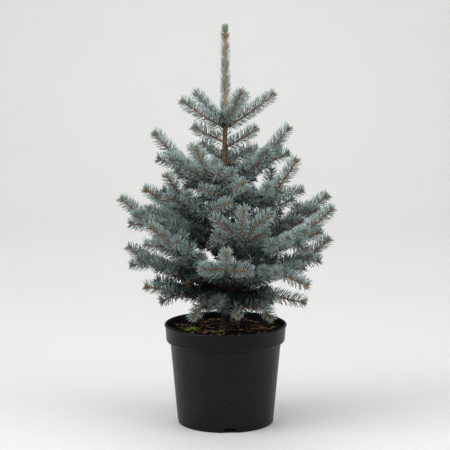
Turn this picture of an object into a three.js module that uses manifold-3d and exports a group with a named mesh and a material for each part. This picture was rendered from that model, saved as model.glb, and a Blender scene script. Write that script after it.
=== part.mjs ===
// A young blue spruce, 0.9 m tall with its pot, grown in a black ten litre nursery pot.
//
// Units are millimetres and degrees. +Z is up, +X is to the right and the front looks along -Y.
// A bearing is the way a limb leaves the trunk seen from above: 0 is right, 90 is back, 180 is
// left and 270 is front. The origin is the centre of the pot's flat underside.

import * as THREE from 'three';
import { mergeVertices } from 'three/addons/utils/BufferGeometryUtils.js';
import Module from 'manifold-3d';

const wasm = await Module();
wasm.setup();

// ---------------------------------------------------------------- driving sizes

const CLEAR = 0.3; // space kept between two touching pieces

const POT_HEIGHT = 230;
const POT_RIM_RADIUS = 140;
const POT_FOOT_RADIUS = 110;
const POT_BODY_TOP = 185; // where the plain tapered body meets the band under the rim
const POT_BODY_TOP_RADIUS = 126.4;
const POT_WALL = 2.2;
const POT_FLOOR = 4;
const POT_SIDES = 48;

const NOTCH_COUNT = 4; // drain notches cut in the bottom edge
const NOTCH_FIRST_BEARING = 275;
const NOTCH_FOOT_WIDTH = 32;
const NOTCH_TOP_WIDTH = 25;
const NOTCH_HEIGHT = 10.5;
const NOTCH_INNER_RADIUS = 98;

const COMPOST_TOP = 217;
const COMPOST_SIDES = 24;
const COMPOST_LUMP = 2.6; // how far the surface heaves up and down

const TRUNK_FOOT = COMPOST_TOP + CLEAR;
const TRUNK_TIP = 898;
const TRUNK_SIDES = 10;
const TRUNK_SWAY = 1.4;
// The leader stands a little to the left of the trunk that bears it.
const LEADER_OFFSET = { across: -2.2, from: 760, over: 140 };
const PLANT_TOP = 911;

// Trunk radius at a height: root flare, long taper, the slim leader above the top whorl, and
// the swelling of the end bud.
const TRUNK_PROFILE = [
  [TRUNK_FOOT, 13.5], [226, 11.2], [250, 10.2], [330, 9.4], [400, 8.7], [470, 7.6],
  [531, 7.1], [600, 6.0], [672, 5.3], [683, 5.6], [694, 4.0], [780, 3.7], [884, 3.4],
  [890, 4.6], [TRUNK_TIP, 1.6],
];

const BOUGH_SIDES = 6;
const BOUGH_SHARE = 0.4; // the part of a limb that is bare bough, before its mass of foliage
const BOUGH_FOOT_RADIUS = 3.7;
const BOUGH_END_RADIUS = 2.7;

const SHOOT_SIDES = 3;
const STEM_RADIUS = 2.2; // bare stem where a mass leaves the trunk, or a twig its parent
const CORE_RADIUS = 5.8; // the dense needles close along a shoot
const CORE_END_RADIUS = 3;
const NEEDLE_REACH = 17.2; // how far needle tips stand off the shoot's middle
const NEEDLE_LEAN = 10; // how far forward the tips lie
const NEEDLE_FULLNESS = 0.1; // how much less they reach at the side, and twice that below
const TUFT = 9; // needles past the end of a shoot
const RING_STEP = 12;
const STEM_BARE = 15;
const TWIG_BARE = 9;
const GOLDEN_TURN = 137.5;
const PATH_STEP = 12;

// An end shoot bends up a little along its length, and a side twig droops and then lifts.
const SHOOT_BEND = 4;
const TWIG_DROOP = 5;
const TWIG_LIFT = 7;

// Side shoots at the fork: length as a share of the end shoot, spread sideways, share of the
// limb's rise, and how much flatter the shoot on the underside lies.
const FORK_TWIG_SHARE = 0.66;
const FORK_SPREAD = 52;
const FORK_SPREAD_CHANCE = 6;
const FORK_RISE_SHARE = 0.5;
const UNDER_DROP = 34;

// Pairs of twigs further in along the limb.
const LIMB_TWIG_PLACES = [0.74, 0.5];
const LIMB_TWIG_PLACE_CHANCE = 0.05;
const LIMB_TWIG_SHARE = 0.92;
const LIMB_TWIG_LEAST = 70; // the end shoot that a twig's length is at least worked out from
const LIMB_TWIG_SPREAD = 50;
const LIMB_SPREAD_CHANCE = 8;
const LIMB_RISE_SHARE = 0.55;
const LIMB_RISE_CHANCE = 6;

const TWIG_LENGTH_LEAST = 0.88; // twigs vary from this share of their length
const TWIG_LENGTH_CHANCE = 0.24; // by up to this much more
const TWIG_TRIES = [1, 0.85, 0.7, 0.55, 0.45]; // shares of its length that a twig may be cut to
const SHORTEST_TWIG = 30;
const MASS_GAP = 2; // least space between two masses of foliage
const TOOTH_GAP = 1.2; // and between a tooth of one and another
const BALL_STEP = 5; // how close the balls lie that claim a twig's space
const TOOTH_BALLS = [[0.45, 5.6], [0.75, 3.2], [1, 1.3]]; // share of a tooth's way out, radius

// The needles of the leader stand close round the last length of the trunk.
const LEADER_FOOT = 697;
const LEADER_END = 893;
const LEADER_SIDES = 6; // two teeth on each ring
const LEADER_CORE = 6.4;
const LEADER_REACH = 13.5;
const LEADER_LEAN = 13;
const LEADER_STEP = 9.5;
const LEADER_SLIMMING = 0.82; // reach at its end, as a share of that at its foot

// Each limb of the crown: name, height on the trunk, bearing, limb length to its last fork,
// rise at the trunk, rise at the fork, length of the end shoot, its rise, its turn sideways,
// the side shoots at the fork, and whether the limb starts as a bare bough.
const LIMBS = [
  ['crown_right', 675, -14, 0, 0, 0, 135, 35, 0, '', false],
  ['crown_front', 682, -60, 0, 0, 0, 104, 47, 0, '', false],
  ['crown_left', 676, 191, 0, 0, 0, 114, 32, 0, '', false],
  ['crown_back_left', 683, 130, 0, 0, 0, 122, 32, 0, '', false],
  ['crown_back', 678, 58, 0, 0, 0, 110, 38, 0, '', false],
  ['upper_left', 645, 184, 0, 0, 0, 76, 25, 0, '', false],
  ['upper_right', 632, -26, 0, 0, 0, 86, 30, 0, '', false],
  ['upper_back_left', 602, 140, 0, 0, 0, 74, 27, 0, '', false],
  ['upper_back_right', 596, 38, 0, 0, 0, 76, 22, 0, '', false],
  ['high_left', 536, 186, 113, 26, 37, 94, 48, 0, 'left', false],
  ['high_front', 527, 246, 98, 20, 34, 92, 49, -4, 'left right', false],
  ['high_right', 527, -12, 108, 38, 48, 100, 50, 0, 'under left right', false],
  ['high_back_right', 529, 64, 98, 20, 26, 86, 35, 0, 'left', false],
  ['high_back_left', 526, 119, 102, 21, 28, 86, 36, 0, 'under left right', false],
  ['mid_right', 482, -36, 152, 20, 30, 82, 54, 9, '', true],
  ['mid_left', 436, 215, 131, 30, 42, 84, 50, 0, 'under left right', true],
  ['mid_side_left', 430, 197, 140, 30, 37, 79, 26, 0, '', false],
  ['mid_front', 478, 254, 118, 8, 16, 58, 22, 60, 'right', false],
  ['mid_front_right', 492, -88, 104, 18, 30, 76, 26, 28, 'left right', false],
  ['mid_back', 470, 88, 150, 20, 32, 86, 50, 0, 'under left right', true],
  ['wide_left', 391, 184, 195, 18, 30, 74, 38, 0, 'left', true],
  ['wide_right', 388, 6, 192, 20, 34, 73, 36, 0, 'left right', true],
  ['wide_front_right', 385, -28, 190, 10, 24, 105, 40, 0, 'right', true],
  ['wide_front', 390, -78, 158, 16, 28, 78, 58, 0, '', true],
  ['wide_back_right', 400, 46, 196, 26, 38, 64, 13, -34, 'left', true],
  ['wide_back_left', 396, 132, 190, 16, 26, 80, 22, 0, 'under left right', true],
  ['low_front_left', 325, 220, 173, 28, 38, 88, 36, 0, 'left', true],
  ['low_left', 314, 184, 182, 14, 24, 58, 34, 0, 'left right', true],
  ['low_front', 320, 270, 162, 16, 28, 62, 42, 0, '', true],
  ['low_front_right', 302, -43, 170, 20, 26, 84, -15, 0, 'left right', true],
  ['low_right', 322, -10, 181, 14, 24, 78, 37, 0, 'left right', true],
  ['low_back_right', 313, 54, 180, 18, 30, 76, 30, 0, 'left right', true],
  ['low_back_left', 312, 118, 180, 4, 8, 76, 20, 0, 'left', true],
  ['foot_left', 284, 181, 127, 8, 12, 56, 8, 0, '', false],
  ['foot_front_left', 292, 236, 88, 4, -6, 48, -32, 0, 'left', false],
  ['foot_front', 284, 283, 82, 4, -8, 34, -20, 0, '', false],
  ['foot_front_right', 280, -36, 92, 8, -4, 42, -40, 0, 'right', false],
  ['foot_right', 276, -9, 104, 16, 10, 78, -12, 0, '', false],
  ['foot_back', 282, 90, 120, 8, 4, 60, 0, 0, 'left', false],
];

// Twigs that break the pairs: limb, share of its length, turn from its bearing, rise, length.
const ODD_TWIGS = [
  ['high_left', 1, 0, 11, 54],
  ['high_left', 0.32, 40, -4, 76],
  ['mid_right', 0.86, 110, 70, 54],
  ['mid_right', 0.48, 40, 2, 48],
  ['mid_left', 0.8, 88, 42, 60],
  ['wide_left', 0.9, 0, -2, 54],
  ['wide_left', 0.95, -80, 38, 40],
  ['wide_right', 0.96, 85, 40, 36],
  ['wide_front_right', 1, 0, 14, 52],
  ['wide_front_right', 0.86, -25, -12, 60],
  ['wide_front', 1, 63, 37, 86],
  ['wide_front', 1, -82, 35, 74],
  ['low_front_left', 0.97, -54, 4, 72],
  ['low_front_left', 1, 80, 40, 46],
  ['low_left', 0.97, 6, -6, 46],
  ['low_left', 0.48, 48, 45, 66],
  ['low_front', 1, -66, 3, 58],
  ['low_front', 1, 66, -3, 56],
  ['low_right', 1, -6, -2, 41],
  ['low_right', 0.55, -78, 30, 62],
  ['foot_left', 0.86, 0, -32, 43],
  ['foot_left', 0.9, -25, 22, 52],
  ['foot_left', 0.5, 55, 38, 60],
  ['foot_right', 0.95, -40, -52, 42],
];
// Places of a limb where no side twig grew: limb, share of its length, left (1) or right (-1).
const BARE_SPOTS = [
  ['high_left', 0.74, -1],
  ['high_back_right', 0.74, -1],
  ['high_back_right', 0.5, -1],
  ['mid_back', 0.74, -1],
  ['wide_left', 0.74, -1],
  ['low_back_left', 0.74, -1],
  ['mid_right', 0.74, 1],
  ['foot_left', 0.5, 1],
  ['foot_front_left', 0.74, -1],
  ['foot_back', 0.74, -1],
  ['foot_right', 0.74, 1],
];

// Patches of moss on the compost: name, place across and along, width and depth.
const MOSS = [
  ['moss_left', -76, -20, 42, 44],
];
const MOSS_HEIGHT = 5;

const PLASTIC = finish(0x232427, 0.42);
const SOIL = finish(0x2a1e17, 0.95);
const MOSS_GREEN = finish(0x5c6b2c, 0.95);
const BARK = finish(0x7a5636, 0.85);
const NEEDLES = finish(0x6c8586, 0.7);

// ---------------------------------------------------------------- plain helpers

function finish(colour, roughness) {
  return new THREE.MeshStandardMaterial({ color: colour, roughness, metalness: 0 });
}

function radians(degrees) {
  return THREE.MathUtils.degToRad(degrees);
}

function mix(first, last, share) {
  return first + (last - first) * share;
}

// A small repeatable source of chance, so that every build grows the same plant.
function chanceFrom(seed) {
  let state = seed;
  return () => {
    state = (state * 1664525 + 1013904223) % 4294967296;
    return state / 4294967296;
  };
}

function heading(bearing, rise) {
  const level = Math.cos(radians(rise));
  return new THREE.Vector3(
    Math.cos(radians(bearing)) * level, Math.sin(radians(bearing)) * level, Math.sin(radians(rise)));
}

// The value at a place in a list of [place, value] pairs.
function readProfile(profile, place) {
  for (let i = 1; i < profile.length; i += 1) {
    const [before, first] = profile[i - 1];
    const [after, last] = profile[i];
    if (place <= after) {
      return mix(first, last, Math.max(0, place - before) / (after - before));
    }
  }
  return profile[profile.length - 1][1];
}

// ---------------------------------------------------------------- solids

function solidFrom(points, triangles) {
  const vertProperties = new Float32Array(points.flatMap((point) => [point.x, point.y, point.z]));
  const triVerts = new Uint32Array(triangles.flat());
  return new wasm.Manifold(new wasm.Mesh({ numProp: 3, vertProperties, triVerts }));
}

function solidOf(geometry) {
  const bare = geometry.clone();
  bare.deleteAttribute('normal');
  bare.deleteAttribute('uv');
  const merged = mergeVertices(bare, 1e-3);
  const vertProperties = new Float32Array(merged.attributes.position.array);
  const triVerts = new Uint32Array(merged.index.array);
  return new wasm.Manifold(new wasm.Mesh({ numProp: 3, vertProperties, triVerts }));
}

// Fusing or cutting can leave a loose scrap, which is dropped.
function largestPiece(solid) {
  const pieces = solid.decompose();
  return pieces.reduce((best, piece) => (piece.volume() > best.volume() ? piece : best));
}

function geometryOf(solid) {
  const mesh = solid.getMesh();
  const geometry = new THREE.BufferGeometry();
  geometry.setAttribute('position', new THREE.BufferAttribute(new Float32Array(mesh.vertProperties), 3));
  geometry.setIndex(new THREE.BufferAttribute(new Uint32Array(mesh.triVerts), 1));
  geometry.computeVertexNormals();
  return geometry;
}

const plant = new THREE.Group();

function addPart(name, geometry, material) {
  const mesh = new THREE.Mesh(geometry, material.clone());
  mesh.name = name;
  plant.add(mesh);
}

// Rings of corners, each ring a list of points counter-clockwise round the way ahead, joined
// into a closed tube. A point past the last ring ends it in a peak; without one it ends flat.
function tubeSolid(rings, peak) {
  const sides = rings[0].length;
  const points = rings.flat();
  const triangles = [];
  const corner = (ring, side) => ring * sides + (side % sides);
  for (let ring = 0; ring + 1 < rings.length; ring += 1) {
    for (let side = 0; side < sides; side += 1) {
      triangles.push([corner(ring, side), corner(ring, side + 1), corner(ring + 1, side)]);
      triangles.push([corner(ring, side + 1), corner(ring + 1, side + 1), corner(ring + 1, side)]);
    }
  }
  const last = rings.length - 1;
  for (let side = 1; side + 1 < sides; side += 1) {
    triangles.push([corner(0, 0), corner(0, side + 1), corner(0, side)]);
    if (!peak) {
      triangles.push([corner(last, 0), corner(last, side), corner(last, side + 1)]);
    }
  }
  if (peak) {
    points.push(peak);
    for (let side = 0; side < sides; side += 1) {
      triangles.push([corner(last, side), corner(last, side + 1), points.length - 1]);
    }
  }
  return solidFrom(points, triangles);
}

// ---------------------------------------------------------------- pot

// The inside of the body, straight from the floor up to the band.
const BODY_INSIDE = [
  [POT_FLOOR, POT_FOOT_RADIUS - POT_WALL],
  [POT_BODY_TOP, POT_BODY_TOP_RADIUS - POT_WALL],
];
const BAND_FOOT = { radius: 135.8, height: 192.5 };
const BAND_INSIDE_FOOT = { radius: 133.4, height: 194.5 };

function makePot() {
  const lip = POT_RIM_RADIUS;
  const top = POT_HEIGHT;
  const profile = [
    [0, 0],
    [POT_FOOT_RADIUS - 2.5, 0],
    [POT_FOOT_RADIUS, 2.5],
    [POT_BODY_TOP_RADIUS, POT_BODY_TOP],
    [POT_BODY_TOP_RADIUS + 1, POT_BODY_TOP + 2.2],
    [BAND_FOOT.radius - 2.8, BAND_FOOT.height - 3.3],
    [BAND_FOOT.radius, BAND_FOOT.height],
    [lip - 1.8, top - 5.8],
    [lip, top - 4.4],
    [lip, top - 0.9],
    [lip - 0.9, top],
    [lip - 3.4, top],
    [lip - 4.1, top - 2],
    [BAND_INSIDE_FOOT.radius, BAND_INSIDE_FOOT.height],
    [POT_BODY_TOP_RADIUS - POT_WALL, POT_BODY_TOP + 3],
    [POT_FOOT_RADIUS - POT_WALL, POT_FLOOR],
    [0, POT_FLOOR],
  ];
  const shell = new THREE.LatheGeometry(profile.map(([x, y]) => new THREE.Vector2(x, y)), POT_SIDES);
  shell.rotateX(Math.PI / 2);
  let pot = solidOf(shell);
  for (let i = 0; i < NOTCH_COUNT; i += 1) {
    const bearing = NOTCH_FIRST_BEARING + (i * 360) / NOTCH_COUNT;
    pot = pot.subtract(solidOf(notchCutter(bearing)));
  }
  return geometryOf(pot);
}

// A drain notch is a low trapezium through the wall and the edge of the floor.
function notchCutter(bearing) {
  const below = 5;
  const flare = ((NOTCH_FOOT_WIDTH - NOTCH_TOP_WIDTH) / 2 / NOTCH_HEIGHT) * below;
  const foot = NOTCH_FOOT_WIDTH / 2 + flare;
  const head = NOTCH_TOP_WIDTH / 2;
  const outline = new THREE.Shape([
    new THREE.Vector2(-foot, -below),
    new THREE.Vector2(foot, -below),
    new THREE.Vector2(head, NOTCH_HEIGHT),
    new THREE.Vector2(-head, NOTCH_HEIGHT),
  ]);
  const depth = POT_FOOT_RADIUS + 10 - NOTCH_INNER_RADIUS;
  const cutter = new THREE.ExtrudeGeometry(outline, { depth, bevelEnabled: false });
  cutter.rotateX(Math.PI / 2); // the outline now stands upright and the depth runs along -Y
  cutter.translate(0, -NOTCH_INNER_RADIUS, 0);
  cutter.rotateZ(radians(bearing - 270));
  return cutter;
}

// ---------------------------------------------------------------- compost and moss

// The plug of compost fills the pot to 13 mm under the rim. Its surface heaves a little, but
// is level round the trunk.
function compostSolid() {
  const slack = 0.5;
  const chance = chanceFrom(41);
  const sideRings = [
    [92, POT_FLOOR + CLEAR + 0.1],
    [readProfile(BODY_INSIDE, 24) - slack, 24],
    [POT_BODY_TOP_RADIUS - POT_WALL - slack, POT_BODY_TOP + 3],
    [BAND_INSIDE_FOOT.radius - slack, BAND_INSIDE_FOOT.height],
    [BAND_INSIDE_FOOT.radius + 0.1, COMPOST_TOP - 4],
  ];
  const topRings = [[112, 1], [84, 1], [52, 0.8], [20, 0]];
  const rings = [];
  for (const [radius, height] of sideRings) {
    rings.push(levelRing(radius, () => height));
  }
  for (const [radius, heave] of topRings) {
    rings.push(levelRing(radius, () => COMPOST_TOP + heave * COMPOST_LUMP * (2 * chance() - 1)));
  }
  return tubeSolid(rings, new THREE.Vector3(0, 0, COMPOST_TOP));
}

function levelRing(radius, heightAt) {
  const ring = [];
  for (let side = 0; side < COMPOST_SIDES; side += 1) {
    const turn = (side / COMPOST_SIDES) * 2 * Math.PI;
    ring.push(new THREE.Vector3(radius * Math.cos(turn), radius * Math.sin(turn), heightAt()));
  }
  return ring;
}

// A patch of moss is a low dome that lies on the heaving compost.
function mossSolid(across, along, width, depth, compost) {
  const dome = new THREE.SphereGeometry(1, 9, 6);
  dome.rotateX(Math.PI / 2);
  dome.scale(width / 2, depth / 2, MOSS_HEIGHT);
  dome.translate(across, along, COMPOST_TOP);
  return largestPiece(solidOf(dome).subtract(compost.translate([0, 0, CLEAR])));
}

// ---------------------------------------------------------------- trunk

// The trunk stands upright with a slight sway.
function trunkMiddle(height) {
  const turn = (height - TRUNK_FOOT) / 95;
  const lean = Math.min(1, (height - TRUNK_FOOT) / 60);
  const leader = Math.min(1, Math.max(0, (height - LEADER_OFFSET.from) / LEADER_OFFSET.over));
  return new THREE.Vector3(
    TRUNK_SWAY * lean * Math.sin(turn) + LEADER_OFFSET.across * leader,
    TRUNK_SWAY * 0.8 * lean * Math.sin(turn * 1.3 + 1), height);
}

// The trunk itself, or with a clearance the room that it needs among the foliage.
function trunkSolid(clearance) {
  const rings = TRUNK_PROFILE.map(([height, radius], index) => {
    const isFoot = index === 0;
    const isTip = index === TRUNK_PROFILE.length - 1;
    const middle = trunkMiddle(height);
    middle.z += (isTip ? 1 : isFoot ? -1 : 0) * clearance;
    const ring = [];
    for (let side = 0; side < TRUNK_SIDES; side += 1) {
      const turn = (side / TRUNK_SIDES) * 2 * Math.PI;
      const reach = radius + clearance / Math.cos(Math.PI / TRUNK_SIDES);
      const out = new THREE.Vector3(Math.cos(turn), Math.sin(turn), 0);
      ring.push(middle.clone().addScaledVector(out, reach));
    }
    return ring;
  });
  return tubeSolid(rings);
}

// ---------------------------------------------------------------- the ways that limbs and twigs take

// A way walks out from a point. Its bearing and its rise turn evenly over its length. Each
// station keeps its place, the way ahead, and the two directions across it.
function walk(start, bearing, turn, riseStart, riseEnd, length) {
  const steps = Math.max(2, Math.round(length / PATH_STEP));
  const stations = [];
  const place = start.clone();
  for (let step = 0; step <= steps; step += 1) {
    const share = step / steps;
    stations.push(station(place, bearing + turn * share, mix(riseStart, riseEnd, share), length * share));
    const middle = (step + 0.5) / steps;
    place.addScaledVector(heading(bearing + turn * middle, mix(riseStart, riseEnd, middle)), length / steps);
  }
  return stations;
}

function station(place, bearing, rise, along) {
  const ahead = heading(bearing, rise);
  const side = new THREE.Vector3(-Math.sin(radians(bearing)), Math.cos(radians(bearing)), 0);
  const above = new THREE.Vector3().crossVectors(ahead, side);
  return { place: place.clone(), bearing, rise, along, ahead, side, above };
}

function stationAt(way, along) {
  let index = 1;
  while (index < way.length - 1 && way[index].along < along) {
    index += 1;
  }
  const before = way[index - 1];
  const after = way[index];
  const share = (along - before.along) / (after.along - before.along);
  const place = before.place.clone().lerp(after.place, share);
  const bearing = mix(before.bearing, after.bearing, share);
  return station(place, bearing, mix(before.rise, after.rise, share), along);
}

function wayLength(way) {
  return way[way.length - 1].along;
}

function ringAt(way, along, sides, radius, turn) {
  const middle = stationAt(way, along);
  const ring = [];
  for (let side = 0; side < sides; side += 1) {
    const angle = turn + (side / sides) * 2 * Math.PI;
    const out = middle.side.clone().multiplyScalar(Math.cos(angle));
    out.addScaledVector(middle.above, Math.sin(angle));
    ring.push(middle.place.clone().addScaledVector(out, radius));
  }
  return ring;
}

// The whole way of a limb: out from the middle of the trunk to its last fork, then its end shoot.
function limbWay(limb) {
  const start = trunkMiddle(limb.height);
  if (limb.length === 0) {
    return walk(start, limb.bearing, 0, limb.tipRise - SHOOT_BEND, limb.tipRise + SHOOT_BEND, limb.tip);
  }
  const way = walk(start, limb.bearing, 0, limb.rise, limb.forkRise, limb.length);
  const fork = way[way.length - 1];
  const bearing = limb.bearing + limb.tipTurn;
  const tip = walk(
    fork.place, bearing, 0, limb.tipRise - SHOOT_BEND, limb.tipRise + SHOOT_BEND, limb.tip);
  for (const stop of tip.slice(1)) {
    stop.along += limb.length;
    way.push(stop);
  }
  return way;
}

// ---------------------------------------------------------------- twigs that branch by rule

// A twig is a way with needles from one place along it to its end, rooted in its parent.
function makeTwig(limb, way, from, bare, stem, core) {
  return { limb, way, from, bare, stem, core };
}

function sideTwig(limb, parentStation, bearing, rise, length) {
  const way = walk(parentStation.place, bearing, 0, rise - TWIG_DROOP, rise + TWIG_LIFT, length);
  return makeTwig(limb, way, 0, TWIG_BARE, STEM_RADIUS * 0.85, CORE_RADIUS * 0.9);
}

// The side twigs of a limb, in the order that they claim their space.
function sideTwigs(limb, way, firstPlace) {
  const chance = chanceFrom(limb.seed);
  const twigs = [];
  const fork = stationAt(way, limb.length);
  const vary = () => TWIG_LENGTH_LEAST + TWIG_LENGTH_CHANCE * chance();
  for (const [name, share, turn, rise, length] of ODD_TWIGS) {
    if (name === limb.name) {
      twigs.push(sideTwig(limb, stationAt(way, limb.length * share), limb.bearing + turn, rise, length));
    }
  }
  for (const word of limb.forkShoots) {
    const length = limb.tip * FORK_TWIG_SHARE * vary();
    if (word === 'under') {
      twigs.push(sideTwig(limb, fork, limb.bearing, limb.tipRise - UNDER_DROP, length));
    } else {
      const spread = (word === 'left' ? 1 : -1) * (FORK_SPREAD + FORK_SPREAD_CHANCE * chance());
      const rise = ((limb.forkRise + limb.tipRise) / 2) * FORK_RISE_SHARE;
      twigs.push(sideTwig(limb, fork, limb.bearing + spread, rise, length));
    }
  }
  for (const share of LIMB_TWIG_PLACES) {
    for (const hand of [1, -1]) {
      const along = limb.length * (share + LIMB_TWIG_PLACE_CHANCE * chance());
      const length = Math.max(limb.tip, LIMB_TWIG_LEAST) * LIMB_TWIG_SHARE * vary();
      const bearing = limb.bearing + hand * (LIMB_TWIG_SPREAD + LIMB_SPREAD_CHANCE * chance());
      const parent = stationAt(way, along);
      const rise = parent.rise * LIMB_RISE_SHARE + LIMB_RISE_CHANCE * chance();
      const isBare = BARE_SPOTS.some(([name, place, side]) => (
        name === limb.name && place === share && side === hand));
      if (limb.length > 0 && along > firstPlace + TWIG_BARE && !isBare) {
        twigs.push(sideTwig(limb, parent, bearing, rise, length));
      }
    }
  }
  return twigs;
}

// ---------------------------------------------------------------- keeping masses apart

// Every limb, twig and tooth of needles claims its space as a row of balls.
const claimed = [];

function claim(place, radius, limb, twig) {
  claimed.push({ place: place.clone(), radius, limb, twig });
}

function claimTwig(twig) {
  const length = wayLength(twig.way);
  for (let along = twig.from; along <= length + TUFT; along += BALL_STEP) {
    claim(placeAhead(twig.way, along), coreRadius(twig, Math.min(along, length)), twig.limb, twig);
  }
}

// A place along a way, or straight on past its end.
function placeAhead(way, along) {
  const length = wayLength(way);
  const stop = stationAt(way, Math.min(along, length));
  return stop.place.addScaledVector(stop.ahead, Math.max(0, along - length));
}

// Clear of the trunk, the compost and the pot.
function clearOfPot(place, radius) {
  const middle = trunkMiddle(place.z);
  const fromTrunk = Math.hypot(place.x - middle.x, place.y - middle.y);
  if (place.z < TRUNK_TIP && fromTrunk < readProfile(TRUNK_PROFILE, place.z) + radius + CLEAR) {
    return false;
  }
  const fromAxis = Math.hypot(place.x, place.y);
  const overRim = place.z - radius > POT_HEIGHT + 1;
  const overCompost = place.z - radius > COMPOST_TOP + COMPOST_LUMP + 1;
  return overRim || (overCompost && fromAxis + radius < BAND_INSIDE_FOOT.radius - 1);
}

function clearOfOthers(place, radius, limb, twig, gap) {
  return claimed.every((ball) => {
    const sameMass = ball.limb === limb;
    if (sameMass && (!twig || ball.twig === twig)) {
      return true;
    }
    const room = ball.radius + radius + (sameMass ? 0 : gap);
    return ball.place.distanceToSquared(place) > room * room;
  });
}

// The radius of the dense core: a bare stem first, then full, then slimmer to the end.
function coreRadius(twig, along) {
  const length = wayLength(twig.way);
  const start = twig.from + twig.bare;
  if (along <= start) {
    return twig.stem;
  }
  return mix(twig.core, CORE_END_RADIUS, (along - start) / (length - start));
}

// The length, of a few tries, at which a twig meets nothing, or 0.
function fits(twig) {
  const full = wayLength(twig.way);
  for (const share of TWIG_TRIES) {
    const length = full * share;
    if (length < SHORTEST_TWIG) {
      return 0;
    }
    let clear = true;
    for (let along = twig.bare; along <= length + TUFT && clear; along += BALL_STEP) {
      const place = placeAhead(twig.way, along);
      clear = clearOfPot(place, twig.core + 1) && clearOfOthers(place, twig.core, twig.limb, null, MASS_GAP);
    }
    if (clear) {
      return length;
    }
  }
  return 0;
}

function cutWay(way, length) {
  const kept = way.filter((stop) => stop.along < length - 1); // no two stations in one place
  kept.push(stationAt(way, length));
  return kept;
}

// ---------------------------------------------------------------- needles

// A shoot with its needles is a slim twisted core. One corner in three on each ring is drawn
// out to the needles' tips, and the rings turn on so that the teeth follow each other at the
// golden angle. A tooth that would meet a neighbour stays in the core.
function shootSolid(twig) {
  const length = wayLength(twig.way);
  const firstRing = twig.from + twig.bare;
  const count = Math.max(2, Math.round((length - firstRing) / RING_STEP));
  const places = twig.bare > 0 ? [twig.from] : [];
  for (let i = 0; i <= count; i += 1) {
    places.push(mix(firstRing, length, i / count));
  }
  const ringTurn = radians(GOLDEN_TURN - 360 / SHOOT_SIDES);
  const rings = places.map((along, index) => {
    const ring = ringAt(twig.way, along, SHOOT_SIDES, coreRadius(twig, along), ringTurn * index);
    if (along <= firstRing) {
      return ring;
    }
    const middle = stationAt(twig.way, along);
    return ring.map((corner, side) => {
      if (side % 3 !== index % 3) {
        return corner;
      }
      return toothTip(twig, corner, middle) ?? corner;
    });
  });
  const end = stationAt(twig.way, length);
  return tubeSolid(rings, end.place.addScaledVector(end.ahead, TUFT));
}

// Needles above a shoot stand fuller than those under it.
function toothTip(twig, corner, middle) {
  const out = corner.clone().sub(middle.place).normalize();
  const reach = NEEDLE_REACH * (1 + NEEDLE_FULLNESS * (out.z - 1));
  const tip = middle.place.clone().addScaledVector(out, reach);
  tip.addScaledVector(middle.ahead, NEEDLE_LEAN);
  const clear = TOOTH_BALLS.every(([share, radius]) => {
    const spot = middle.place.clone().lerp(tip, share);
    return clearOfPot(spot, radius) && clearOfOthers(spot, radius, twig.limb, twig, TOOTH_GAP);
  });
  if (!clear) {
    return null;
  }
  for (const [share, radius] of TOOTH_BALLS) {
    claim(middle.place.clone().lerp(tip, share), radius, twig.limb, twig);
  }
  return tip;
}

// ---------------------------------------------------------------- growing the plant

function readLimb(row, index) {
  const [name, height, bearing, length, rise, forkRise, tip, tipRise, tipTurn, words, isBough] = row;
  const forkShoots = words.split(' ').filter((word) => word !== '');
  const seed = 101 + index * 37;
  return { name, height, bearing, length, rise, forkRise, tip, tipRise, tipTurn, forkShoots, isBough, seed };
}

// The bare bough ends where the mass of foliage starts.
function boughSolid(limb, way, room) {
  const length = limb.length * BOUGH_SHARE;
  const rings = [0, 0.5, 1].map((share) => ringAt(
    way, length * share, BOUGH_SIDES, mix(BOUGH_FOOT_RADIUS, BOUGH_END_RADIUS, share), 0));
  return largestPiece(tubeSolid(rings).subtract(room));
}

function growCrown(room) {
  const masses = LIMBS.map(readLimb).map((limb) => {
    const way = limbWay(limb);
    const from = limb.isBough ? limb.length * BOUGH_SHARE + CLEAR : 0;
    const bare = limb.isBough ? 0 : STEM_BARE;
    const stem = limb.isBough ? BOUGH_END_RADIUS : STEM_RADIUS;
    return { limb, way, from, twigs: [makeTwig(limb, way, from, bare, stem, CORE_RADIUS)] };
  });
  for (const mass of masses) {
    claimTwig(mass.twigs[0]);
    if (mass.limb.isBough) {
      for (let along = 0; along < mass.from; along += BALL_STEP) {
        claim(stationAt(mass.way, along).place, BOUGH_FOOT_RADIUS, mass.limb, null);
      }
    }
  }
  for (const mass of masses) {
    for (const twig of sideTwigs(mass.limb, mass.way, mass.from)) {
      const length = fits(twig);
      if (length > 0) {
        twig.way = cutWay(twig.way, length);
        mass.twigs.push(twig);
        claimTwig(twig);
      }
    }
  }
  for (const mass of masses) {
    let solid = null;
    for (const twig of mass.twigs) {
      const shoot = shootSolid(twig);
      solid = solid ? solid.add(shoot) : shoot;
    }
    const grown = mass.limb.isBough ? solid : solid.subtract(room);
    addPart(`needles_${mass.limb.name}`, geometryOf(largestPiece(grown)), NEEDLES);
    if (mass.limb.isBough) {
      addPart(`bough_${mass.limb.name}`, geometryOf(boughSolid(mass.limb, mass.way, room)), BARK);
    }
  }
}

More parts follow.
